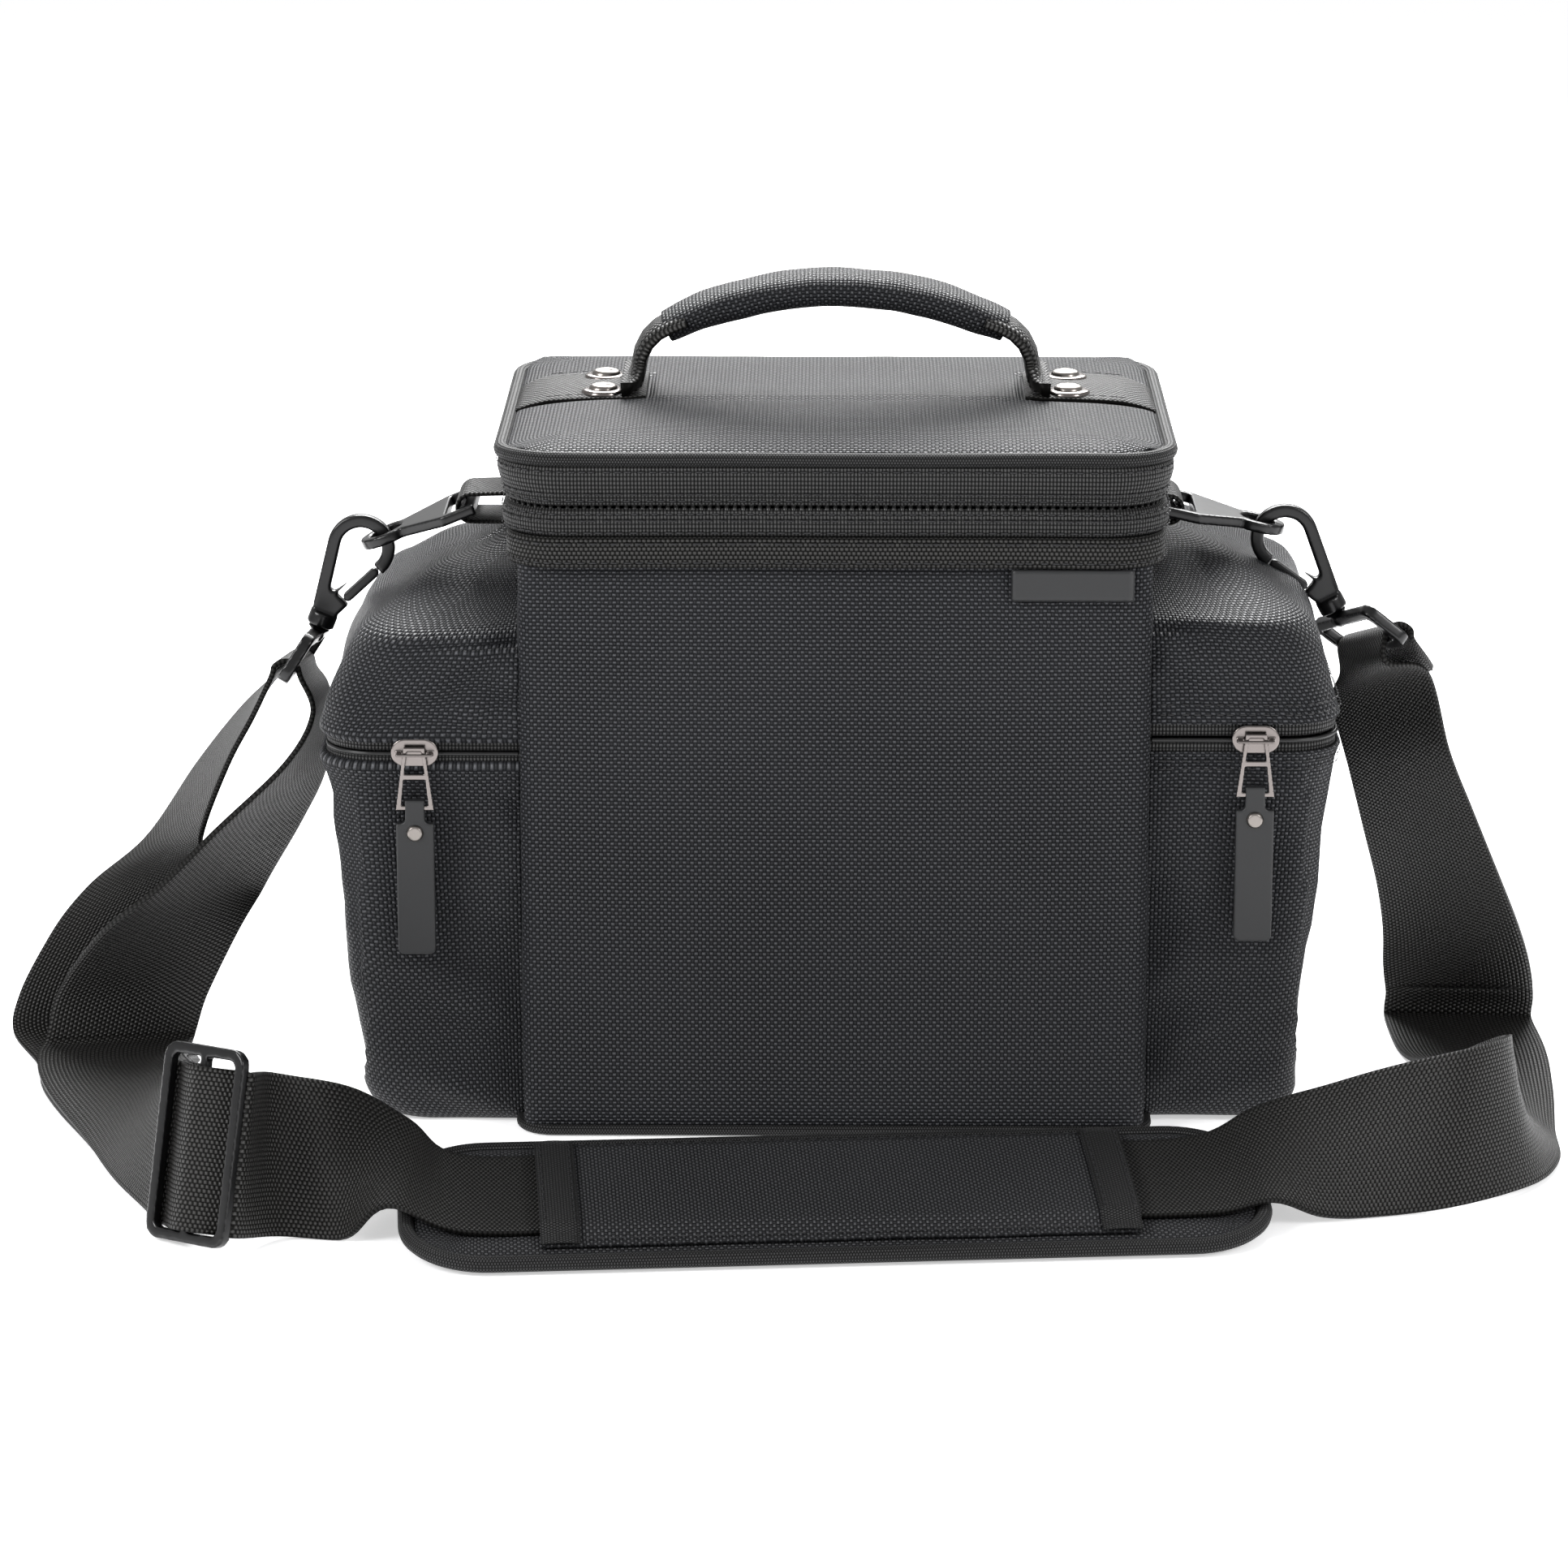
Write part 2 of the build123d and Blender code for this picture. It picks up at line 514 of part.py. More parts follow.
# ---- shoulder pad ---------------------------------------------------------
PAD_LEAN, PAD_YAW = radians(8), radians(4.9)
pad_along = Vector(cos(PAD_YAW), sin(PAD_YAW), 0)
pad_normal = Vector(sin(PAD_YAW) * sin(PAD_LEAN), -cos(PAD_YAW) * sin(PAD_LEAN), cos(PAD_LEAN))
pad_plane = Plane(origin=(0, -156, PAD_WIDTH / 2 * sin(PAD_LEAN)), x_dir=pad_along, z_dir=pad_normal)
STRAP_LIFT = PAD_THICK + 0.3 + STRAP_THICK / 2
with BuildPart() as shoulder_pad:
    with BuildSketch(pad_plane):
        RectangleRounded(PAD_LENGTH, PAD_WIDTH, 26)
    extrude(amount=PAD_THICK)
keep(shoulder_pad, "shoulder_pad")

SLEEVE_HALF, SLEEVE_FLAT, SLEEVE_FOOT = 90.0, 27.0, 33.0
sleeve_end = pad_plane.from_local_coords(Vector(-SLEEVE_HALF, 0, 0))
with BuildPart() as pad_sleeve:
    with BuildSketch(Plane(origin=sleeve_end, x_dir=pad_plane.y_dir, z_dir=pad_along)):
        with BuildLine():
            low, top = PAD_THICK + 0.1, STRAP_LIFT + STRAP_THICK / 2 + 0.3
            Polyline((-SLEEVE_FOOT, low), (-SLEEVE_FLAT, low), (-SLEEVE_FLAT + 0.2, top),
                     (SLEEVE_FLAT - 0.2, top), (SLEEVE_FLAT, low), (SLEEVE_FOOT, low),
                     (SLEEVE_FOOT - 1, low + 1.2), (SLEEVE_FLAT, top + 1.2), (-SLEEVE_FLAT, top + 1.2),
                     (1 - SLEEVE_FOOT, low + 1.2), close=True)
        make_face()
    extrude(amount=2 * SLEEVE_HALF)
keep(pad_sleeve, "pad_sleeve")

# ---- strap buckle ---------------------------------------------------------
BUCKLE_L, BUCKLE_H, BUCKLE_WIRE = 33.0, 60.0, 3.4
buckle_up = Vector(0.11, 0.26, 0.96).normalized()
buckle_along = Vector(0.78, -0.63, 0)
buckle_along = (buckle_along - buckle_up * buckle_along.dot(buckle_up)).normalized()
buckle_out = buckle_along.cross(buckle_up)          # towards the front
buckle_plane = Plane(origin=(-192, -172, 30.5), x_dir=buckle_along, z_dir=buckle_out)
with BuildPart() as buckle:
    with BuildSketch(buckle_plane.offset(-BUCKLE_WIRE / 2)):
        RectangleRounded(BUCKLE_L, BUCKLE_H, 5)
        RectangleRounded(BUCKLE_L - 2 * BUCKLE_WIRE, BUCKLE_H - 2 * BUCKLE_WIRE, 2.5, mode=Mode.SUBTRACT)
        Rectangle(BUCKLE_WIRE - 0.8, BUCKLE_H)
    extrude(amount=BUCKLE_WIRE)
keep(buckle, "strap_buckle")

# ---- shoulder strap -------------------------------------------------------
# Pairs of points on the two edges of the webbing, in order along it.
RIGHT_RUN = [
    ((167, 16, 131), (177, -30.5, 146)),
    ((165, 23, 119), (192, -15, 139)), ((172, 30, 95), (200, -8, 111)),
    ((178, 38, 71), (210, 2, 88)), ((184, 45, 49), (220, 13, 64)), ((187, 50, 30), (229, 26, 42)),
    ((188, 53, 12), (238, 47, 13)), ((188, 54, 4), (238, 50, 4)), ((188, 51, 1.2), (238, 46, 1.2)),
    ((189, 25, 1.2), (238, 20, 1.2)), ((192, 0, 3), (236, -24, 1.2)), ((199, -33, 14), (231, -70, 1.2)),
    ((206, -65, 29), (228, -100, 1.2)), ((212, -95, 42), (215, -125, 1.2)), ((197, -116, 44), (192, -141, 1)),
    ((172, -116, 37), (167, -149, 1)), ((152, -114, 30), (150, -155, 3)), ((131, -114, 23), (134, -161, 10)),
]
LEFT_RUN = [
    ((-132, -128, 23), (-135, -175, 12.4)), ((-155, -146, 40), (-150, -172, 2)),
    ((-172, -152, 47), (-168, -172, 1)),
]
TABLE_RUN = [
    ((-198, -128, 43), (-208, -157, 2)), ((-204, -92, 33), (-222, -128, 2)), ((-206, -48, 19), (-240, -82, 2)),
    ((-212, -14, 6), (-260, -30, 2.2)), ((-215, 2, 3), (-265, -4, 2.4)),
]
INNER_RISE = [
    ((-214, 15, 6), (-264, 6, 6)), ((-209, 18, 20), (-260, 10, 22)), ((-198, 19, 44), (-244, 0, 44)),
    ((-190, 25, 57), (-223, -13, 64)), ((-178, 24, 78), (-203, -20, 85)), ((-169, 22, 99), (-178, -26, 110)),
    ((-168, 23, 122), (-168.5, -26, 127)),
]
OUTER_FALL = [
    ((-196, 24, 117), (-188, -24, 126)), ((-212, 24, 97), (-197, -22, 109)), ((-230, 27, 70), (-208, -12, 82)),
    ((-250, 31, 52), (-210, 11, 66)), ((-264, 27, 36), (-215, 22, 44)), ((-274, 22, 18), (-224, 26, 22)),
    ((-276, 16, 6), (-226, 23, 6)),
]


def on_buckle(along, out):
    """Edge pair of the webbing where it weaves through the buckle."""
    return tuple(buckle_plane.from_local_coords(Vector(along, half * STRAP_WIDTH / 2 - 1.2, out))
                 for half in (1, -1))


def on_pad(along):
    """Edge pair of the webbing where it lies on the pad."""
    return tuple(pad_plane.from_local_coords(Vector(along, half * STRAP_WIDTH / 2 + 1, STRAP_LIFT))
                 for half in (1, -1))


def web_frames(pairs):
    """Centre, edge direction and forward direction of every pair."""
    centres = [(Vector(*a) + Vector(*b)) * 0.5 for a, b in pairs]
    edges = [(Vector(*b) - Vector(*a)).normalized() for a, b in pairs]
    frames = []
    for k, (centre, edge) in enumerate(zip(centres, edges)):
        forward = centres[min(k + 1, len(pairs) - 1)] - centres[max(k - 1, 0)]
        forward = (forward - edge * forward.dot(edge)).normalized()
        frames.append((centre, edge, forward))
    return frames


def layer(pairs, offset):
    """The same stretch moved square to the webbing by an offset."""
    moved = []
    for centre, edge, forward in web_frames(pairs):
        shift = edge.cross(forward) * offset
        half = edge * (STRAP_WIDTH / 2)
        moved.append((tuple(centre - half + shift), tuple(centre + half + shift)))
    return moved


def over_bar(side, start, turn_by, steps=5):
    """Edge pairs of the webbing round a bail bar, from one side to the other."""
    centre, bar = BAIL_BARS[side]
    across = Vector(0, 0, 1).cross(bar).normalized()
    rise = bar.cross(across)
    pairs = []
    for k in range(steps):
        angle = radians(start + turn_by * k / (steps - 1))
        spot = centre + (across * cos(angle) + rise * sin(angle)) * TURN_R
        pairs.append((tuple(spot - bar * (STRAP_WIDTH / 2)), tuple(spot + bar * (STRAP_WIDTH / 2))))
    return pairs


TURN_R = 4.8
WEAVE = [(16.5, -3.0), (12.2, -3.0), (3.2, 3.0), (-3.2, 3.0), (-12.2, -3.0), (-16.5, -3.0)]
route = layer(RIGHT_RUN[1:3], 3.0)[:1] + over_bar("right", -12, 184) + RIGHT_RUN
route += [on_pad(u) for u in (112, 60, 0, -60, -112)] + LEFT_RUN
route += [on_buckle(*step) for step in WEAVE]
route += layer(TABLE_RUN, -1.1) + INNER_RISE + over_bar("left", -6, 192) + OUTER_FALL
route += [pair[::-1] for pair in layer(TABLE_RUN, 1.1)[::-1]]
route += [on_buckle(*step)[::-1] for step in ((-16.5, -5.4), (-12.2, -5.4), (-2.5, -3.4))]

STRAP_STEPS = web_frames(route)
with BuildPart() as strap:
    for start, stop in zip(STRAP_STEPS, STRAP_STEPS[1:]):
        for centre, edge, forward in (start, stop):
            with BuildSketch(Plane(origin=centre, x_dir=edge, z_dir=forward)):
                Rectangle(STRAP_WIDTH, STRAP_THICK)
        loft(ruled=True)
keep(strap, "shoulder_strap")
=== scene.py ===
"""Looks of the shoulder camera bag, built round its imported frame.

Lengths in this file are millimetres and become metres when a mesh is made.
"""
from math import cos, pi, radians, sin, sqrt

import bpy
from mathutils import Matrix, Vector, noise


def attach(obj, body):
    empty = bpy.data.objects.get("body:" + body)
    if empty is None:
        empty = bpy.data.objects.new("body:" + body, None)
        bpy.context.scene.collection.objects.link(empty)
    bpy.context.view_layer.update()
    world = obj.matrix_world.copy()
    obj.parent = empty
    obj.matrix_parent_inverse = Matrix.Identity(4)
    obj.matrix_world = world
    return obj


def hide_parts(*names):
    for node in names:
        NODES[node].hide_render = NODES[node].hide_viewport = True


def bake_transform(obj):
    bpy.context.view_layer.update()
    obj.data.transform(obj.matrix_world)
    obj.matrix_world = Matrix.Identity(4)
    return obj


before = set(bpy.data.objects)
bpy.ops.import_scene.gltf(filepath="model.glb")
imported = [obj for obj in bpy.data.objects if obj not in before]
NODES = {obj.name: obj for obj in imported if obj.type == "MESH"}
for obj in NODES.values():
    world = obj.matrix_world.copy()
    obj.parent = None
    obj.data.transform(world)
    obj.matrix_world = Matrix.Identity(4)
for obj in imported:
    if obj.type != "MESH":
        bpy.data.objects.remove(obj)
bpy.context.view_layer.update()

MM = 0.001
SIDES = {"left": -1, "right": 1}

# ---- camera ----
camera = bpy.data.objects.new("camera", bpy.data.cameras.new("camera"))
bpy.context.collection.objects.link(camera)
camera.location = (0, -1.7417, 0.5680)
camera.rotation_euler = (radians(90 - 15.13), 0, radians(0.547))
camera.data.lens, camera.data.sensor_width = 126.1, 36
bpy.context.scene.camera = camera


# ---- node building ----
def new_group(name, inputs, outputs):
    """Empty shader node group with its input and output nodes."""
    tree = bpy.data.node_groups.new(name, "ShaderNodeTree")
    for label, kind, value in inputs:
        socket = tree.interface.new_socket(label, in_out="INPUT", socket_type=kind)
        if value is not None:
            socket.default_value = value
    for label, kind in outputs:
        tree.interface.new_socket(label, in_out="OUTPUT", socket_type=kind)
    return tree, tree.nodes.new("NodeGroupInput"), tree.nodes.new("NodeGroupOutput")


def node(tree, kind, links=None, **settings):
    """New node with settings; links maps an input to a socket or a value."""
    made = tree.nodes.new(kind)
    for key, value in settings.items():
        setattr(made, key, value)
    for key, value in (links or {}).items():
        if isinstance(value, bpy.types.NodeSocket):
            tree.links.new(value, made.inputs[key])
        else:
            made.inputs[key].default_value = value
    return made


def math(tree, operation, *values):
    """Result socket of a Math node."""
    return node(tree, "ShaderNodeMath", dict(enumerate(values)), operation=operation).outputs[0]


def add(tree, first, second):
    """Sum of two sockets or numbers."""
    return math(tree, "ADD", first, second)


def times(tree, first, second):
    """Product of two sockets or numbers."""
    return math(tree, "MULTIPLY", first, second)


def mix(tree, share, low, high):
    """Result socket of a colour mix."""
    return node(tree, "ShaderNodeMix", {0: share, 6: low, 7: high}, data_type="RGBA").outputs[2]


NUMBER, VECTOR = "NodeSocketFloat", "NodeSocketVector"


def weave_group():
    """Basket weave: bumps of crossing threads, their height and their shade, which is painted light and shade:
    threads on top lit, threads below darker, gaps dark.
    """
    tree, given, out = new_group("basket_weave", [("Vector", VECTOR, None), ("Pitch", NUMBER, 2.0)],
                                 [("Height", NUMBER), ("Shade", NUMBER)])

    def vector(operation, first, **second):
        """Result socket of a Vector Math node."""
        return node(tree, "ShaderNodeVectorMath",
                    {0: first, **{1 if k == "by" else "Scale": v for k, v in second.items()}},
                    operation=operation).outputs[0]

    threads = math(tree, "DIVIDE", 1000.0, given.outputs["Pitch"])
    scaled = vector("SCALE", given.outputs["Vector"], scale=threads)
    bent = node(tree, "ShaderNodeTexNoise", {"Vector": scaled, "Scale": 0.35, "Detail": 1.0})
    waver = vector("SCALE", vector("SUBTRACT", bent.outputs["Color"], by=(0.5, 0.5, 0.5)), scale=0.35)
    axes = node(tree, "ShaderNodeSeparateXYZ", {0: vector("ADD", scaled, by=waver)})
    wave_u = math(tree, "SINE", times(tree, axes.outputs[0], pi))
    wave_v = math(tree, "SINE", times(tree, axes.outputs[1], pi))
    hill_u, hill_v = math(tree, "ABSOLUTE", wave_u), math(tree, "ABSOLUTE", wave_v)
    on_top = math(tree, "GREATER_THAN", times(tree, wave_u, wave_v), 0.0)
    below = math(tree, "SUBTRACT", 1.0, on_top)
    warp = times(tree, times(tree, math(tree, "POWER", hill_u, 0.45), math(tree, "POWER", hill_v, 1.1)), on_top)
    weft = times(tree, times(tree, math(tree, "POWER", hill_v, 0.9), math(tree, "POWER", hill_u, 1.6)), below)
    tree.links.new(add(tree, warp, times(tree, weft, 0.5)), out.inputs["Height"])
    # Painted light and shade: the threads on top are fully bright, the threads below are at 0.22 and the gaps
    # between them are dark.
    tree.links.new(add(tree, warp, times(tree, weft, 0.22)), out.inputs["Shade"])
    return tree


def ribs_group():
    """Narrow webbing: rows of short picks in ribs that run along the strip, and painted shade in the valleys
    between ribs and between picks.
    """
    tree, given, out = new_group(
        "webbing_ribs",
        [("Vector", VECTOR, None), ("Rib", NUMBER, 1.25), ("Pick", NUMBER, 1.5), ("Skew", NUMBER, 0.5)],
        [("Height", NUMBER), ("Shade", NUMBER)])
    axes = node(tree, "ShaderNodeSeparateXYZ", {0: given.outputs["Vector"]})
    across = times(tree, axes.outputs[0], math(tree, "DIVIDE", 1000.0, given.outputs["Rib"]))
    parity = math(tree, "MODULO", math(tree, "ABSOLUTE", math(tree, "FLOOR", across)), 2.0)
    along = times(tree, axes.outputs[1], math(tree, "DIVIDE", 1000.0, given.outputs["Pick"]))
    along = add(tree, along, times(tree, parity, given.outputs["Skew"]))
    hump = math(tree, "ABSOLUTE", math(tree, "SINE", times(tree, across, pi)))
    rib = math(tree, "POWER", hump, 0.6)
    pick = add(tree, times(tree, math(tree, "SINE", times(tree, along, 2 * pi)), 0.5), 0.5)
    tree.links.new(times(tree, rib, add(tree, 0.45, times(tree, pick, 0.55))), out.inputs["Height"])
    # Painted shade: the valleys between ribs and between picks get the dark colour.
    tree.links.new(times(tree, rib, pick), out.inputs["Shade"])
    return tree


def wear_group():
    """Slow unevenness of a cloth or a plate: dust in broad clouds and fine grain."""
    tree, given, out = new_group(
        "handled_wear", [("Vector", VECTOR, None), ("Cloud", NUMBER, 14.0), ("Grain", NUMBER, 900.0)],
        [("Cloud", NUMBER), ("Grain", NUMBER)])
    for label, detail in (("Cloud", 4.0), ("Grain", 2.0)):
        speckle = node(tree, "ShaderNodeTexNoise",
                       {"Vector": given.outputs["Vector"], "Scale": given.outputs[label], "Detail": detail})
        tree.links.new(speckle.outputs["Fac"], out.inputs[label])
    return tree


WEAVE_GROUP, RIBS_GROUP, WEAR_GROUP = weave_group(), ribs_group(), wear_group()


def finish_base(name, roughness, metallic=0.0, **sockets):
    """Material with a Principled shader and its constants set."""
    material = bpy.data.materials.new(name)
    material.use_nodes = True
    tree = material.node_tree
    shader = tree.nodes["Principled BSDF"]
    shader.inputs["Roughness"].default_value = roughness
    shader.inputs["Metallic"].default_value = metallic
    for key, value in sockets.items():
        shader.inputs[key.replace("_", " ")].default_value = value
    return material, tree, shader


def shade(colour):
    """Colour triple with full alpha."""
    return (*colour, 1.0)


def connect(tree, shader, height, distance, strength, **links):
    """Links sockets to the shader and gives it a bump of a height in millimetres."""
    bump = node(tree, "ShaderNodeBump", {"Height": height, "Distance": distance * MM, "Strength": strength})
    tree.links.new(bump.outputs[0], shader.inputs["Normal"])
    for key, socket in links.items():
        tree.links.new(socket, shader.inputs[key.replace("_", " ")])


def cloth(name, gap_shade, lit_thread, threads, depth, rough, sheen=0.02, **sizes):
    """Woven finish laid along the piece's own cloth map, coloured with the thread group's painted light and
    shade; sizes are the thread group's inputs.
    """
    material, tree, shader = finish_base(name, rough, Sheen_Weight=sheen, Sheen_Roughness=0.4,
                                         Specular_IOR_Level=0.35)
    lay = node(tree, "ShaderNodeUVMap", uv_map="cloth").outputs[0]
    place = node(tree, "ShaderNodeTexCoord").outputs["Object"]
    weave = node(tree, "ShaderNodeGroup", {"Vector": lay, **sizes}, node_tree=threads)
    wear = node(tree, "ShaderNodeGroup", {"Vector": place}, node_tree=WEAR_GROUP)
    # Painted light and shade: the colour runs from the gap shade up to the lit thread colour along the thread
    # group's Shade. The specular level follows the same mask, so the gaps reflect less.
    base = mix(tree, weave.outputs["Shade"], shade(gap_shade), shade(lit_thread))
    dust = times(tree, wear.outputs["Cloud"], 0.16)
    connect(tree, shader, weave.outputs["Height"], depth, 1.0,
            Base_Color=mix(tree, dust, base, shade([c * 1.4 for c in lit_thread])),
            Specular_IOR_Level=add(tree, 0.06, times(tree, weave.outputs["Shade"], 0.62)),
            Roughness=add(tree, rough - 0.08, times(tree, wear.outputs["Grain"], 0.2)))
    return material


def plain(name, colour, roughness, metallic=0.0, grain=0.02, size=700.0, **sockets):
    """Moulded, cast or plated finish with fine grain and handling marks."""
    material, tree, shader = finish_base(name, roughness, metallic, **sockets)
    place = node(tree, "ShaderNodeTexCoord").outputs["Object"]
    wear = node(tree, "ShaderNodeGroup", {"Vector": place, "Cloud": 60.0, "Grain": size}, node_tree=WEAR_GROUP)
    connect(tree, shader, wear.outputs["Grain"], grain, 0.6,
            Base_Color=mix(tree, wear.outputs["Cloud"], shade([c * 0.85 for c in colour]),
                           shade([c * 1.2 for c in colour])),
            Roughness=add(tree, roughness - 0.06, times(tree, wear.outputs["Cloud"], 0.12)))
    return material


# In each cloth below, the first colour is painted shade for the gaps between the threads. The second is the
# thread-top colour, partly the cloth's own and partly painted highlight.
NYLON_GAP_SHADE = (0.0008, 0.0009, 0.0012)      # painted shade in the gaps between the threads of the nylon
NYLON = cloth("shell_nylon", NYLON_GAP_SHADE, (0.052, 0.054, 0.062), WEAVE_GROUP, 0.7, 0.42, Pitch=1.2)
NYLON_FINE = cloth("pocket_nylon", NYLON_GAP_SHADE, (0.05, 0.052, 0.059), WEAVE_GROUP, 0.7, 0.42, Pitch=1.2)
PAD_CLOTH = cloth("pad_cloth", (0.0012, 0.0013, 0.0015), (0.066, 0.067, 0.073), WEAVE_GROUP, 0.6, 0.45,
                  Pitch=1.1)
LINING = cloth("brushed_lining", (0.045, 0.046, 0.048), (0.085, 0.086, 0.09), WEAVE_GROUP, 0.08, 0.85, 0.25,
               Pitch=0.8)
TAPE = cloth("herringbone_tape", (0.0012, 0.0012, 0.0013), (0.027, 0.0268, 0.0265), RIBS_GROUP, 0.35, 0.5,
             Rib=1.5, Pick=1.1, Skew=0.0)
WEBBING = cloth("ribbed_webbing", (0.0010, 0.0010, 0.0009), (0.018, 0.017, 0.0155), RIBS_GROUP, 0.5, 0.45,
                Rib=1.35, Pick=1.5, Skew=0.5)
BINDING = cloth("folded_binding", (0.0025, 0.0025, 0.0026), (0.0105, 0.0105, 0.011), RIBS_GROUP, 0.2, 0.55,
                0.04, Rib=0.9, Pick=0.9, Skew=0.5)
THREAD = plain("sewing_thread", (0.012, 0.012, 0.0135), 0.5, grain=0.03)
COIL_PLASTIC = plain("coil_plastic", (0.006, 0.006, 0.006), 0.35)
BLACK_METAL = plain("black_cast_metal", (0.004, 0.004, 0.0045), 0.3, 0.4, grain=0.015, size=420.0,
                    Coat_Weight=0.25, Coat_Roughness=0.25)
GUN_METAL = plain("gunmetal_plate", (0.20, 0.18, 0.172), 0.22, 1.0, grain=0.01, size=300.0)
NICKEL = plain("warm_nickel", (0.24, 0.22, 0.205), 0.3, 1.0, grain=0.008, size=300.0)
RUBBER = plain("moulded_rubber", (0.011, 0.0115, 0.0125), 0.5, grain=0.05, size=1400.0)


# ---- mesh building ----
def sign(value):
    """1 for what is above zero, -1 for the rest."""
    return 1 if value > 0 else -1


def clamp(value):
    """Value held between 0 and 1."""
    return max(0.0, min(1.0, value))


def place(piece, body, slot, *gone):
    """Piece attached to a body; gone names the frame parts it stands for, which are hidden; slot is not used.
    """
    if gone:
        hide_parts(*gone)
    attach(piece, body)


def mesh_piece(name, points, faces, uvs, material):
    """Object from millimetre points, with its cloth map in metres."""
    data = bpy.data.meshes.new(name)
    data.from_pydata([tuple(Vector(p) * MM) for p in points], [], faces)
    layer = data.uv_layers.new(name="cloth")
    for loop in data.loops:
        layer.data[loop.index].uv = uvs[loop.vertex_index]
    data.materials.append(material)
    data.polygons.foreach_set("use_smooth", [True] * len(data.polygons))
    made = bpy.data.objects.new(name, data)
    bpy.context.collection.objects.link(made)
    return made


def grid(name, rows, material, thick=0.0, offset=0.0, turn=False, start=0.0, flip=False):
    """Sheet through rows of points; its map follows the cloth's own lengths."""
    count = len(rows[0])
    points = [Vector(p) for row in rows for p in row]
    middle = len(rows) // 2
    across, along = [0.0], [start]
    for k in range(1, count):
        across.append(across[-1] + (Vector(rows[middle][k]) - Vector(rows[middle][k - 1])).length * MM)
    for k in range(1, len(rows)):
        step = sum((Vector(rows[k][j]) - Vector(rows[k - 1][j])).length for j in range(count)) / count
        along.append(along[-1] + step * MM)
    uvs = [(v, u) if turn else (u, v) for v in along for u in across]
    faces = []
    for i in range(len(rows) - 1):
        for j in range(count - 1):
            face = (i * count + j, i * count + j + 1, (i + 1) * count + j + 1, (i + 1) * count + j)
            faces.append(face[::-1] if flip else face)
    made = mesh_piece(name, points, faces, uvs, material)
    if (Vector(rows[middle][0]) - Vector(rows[middle][-1])).length < 0.001:
        made.modifiers.new("closed", "WELD").merge_threshold = 0.00001
    if thick:
        solid = made.modifiers.new("thickness", "SOLIDIFY")
        solid.thickness, solid.offset = thick * MM, offset
    return made


def apply_all(piece):
    """Applies a piece's modifiers to its mesh."""
    graph = bpy.context.evaluated_depsgraph_get()
    data = bpy.data.meshes.new_from_object(piece.evaluated_get(graph), depsgraph=graph)
    piece.modifiers.clear()
    piece.data = data


def join(name, pieces):
    """One object from several; all of them keep the cloth map."""
    for other in bpy.context.selected_objects:
        other.select_set(False)
    for piece in pieces:
        apply_all(piece)
        piece.select_set(True)
    bpy.context.view_layer.objects.active = pieces[0]
    bpy.ops.object.join()
    pieces[0].name = name
    pieces[0].select_set(False)
    return pieces[0]


def rounded_loop(half_x, half_y, radius, corner=8, run_x=34, run_y=26):
    """Points (x, y, normal) round a rounded rectangle, anticlockwise from the middle of the back."""
    out = []

    def side(p, q, steps, normal):
        for k in range(steps):
            t = k / steps
            out.append((p[0] + (q[0] - p[0]) * t, p[1] + (q[1] - p[1]) * t, normal))

    def bend(cx, cy, angle):
        for k in range(corner):
            a = radians(angle + 90 * k / corner)
            out.append((cx + radius * cos(a), cy + radius * sin(a), (cos(a), sin(a))))

    x, y = half_x - radius, half_y - radius
    side((0, half_y), (-x, half_y), run_x // 2, (0, 1))
    bend(-x, y, 90)
    side((-half_x, y), (-half_x, -y), run_y, (-1, 0))
    bend(-x, -y, 180)
    side((-x, -half_y), (x, -half_y), run_x, (0, -1))
    bend(x, -y, 270)
    side((half_x, -y), (half_x, y), run_y, (1, 0))
    bend(x, y, 0)
    side((x, half_y), (0, half_y), run_x // 2, (0, 1))
    out.append((0, half_y, (0, 1)))
    return out


def sheet_rows(count, columns, point):
    """Rows of points over a square of -1..1; point(u, v) gives the place, u runs along a row."""
    return [[point(-1 + 2 * j / columns, -1 + 2 * i / count) for j in range(columns + 1)]
            for i in range(count + 1)]


def ring_rows(profile, half_x, half_y, radius, push=None, **runs):
    """Rows of a closed band: profile lists (outward, z), push adds a soft outward shift."""
    loop = rounded_loop(half_x, half_y, radius, **runs)
    rows = []
    for outward, z in profile:
        row = []
        for x, y, (nx, ny) in loop:
            extra = outward + (push(x, y, z) if push else 0.0)
            row.append((x + nx * extra, y + ny * extra, z))
        rows.append(row)
    return rows


def tube(name, line, radius, material, sides=12, closed=False, up=Vector((0, 0, 1))):
    """Round cord along a line of points."""
    rows = []
    count = len(line)
    for k in range(count + (1 if closed else 0)):
        p = Vector(line[k % count])
        ahead = Vector(line[(k + 1) % count] if closed or k + 1 < count else line[k])
        behind = Vector(line[(k - 1) % count] if closed or k > 0 else line[k])
        way = (ahead - behind).normalized()
        side = way.cross(up)
        side = side.normalized() if side.length > 1e-4 else Vector((0, 1, 0))
        rise = side.cross(way)
        rows.append([p + side * cos(2 * pi * j / sides) * radius + rise * sin(2 * pi * j / sides) * radius
                     for j in range(sides + 1)])
    return grid(name, rows, material)


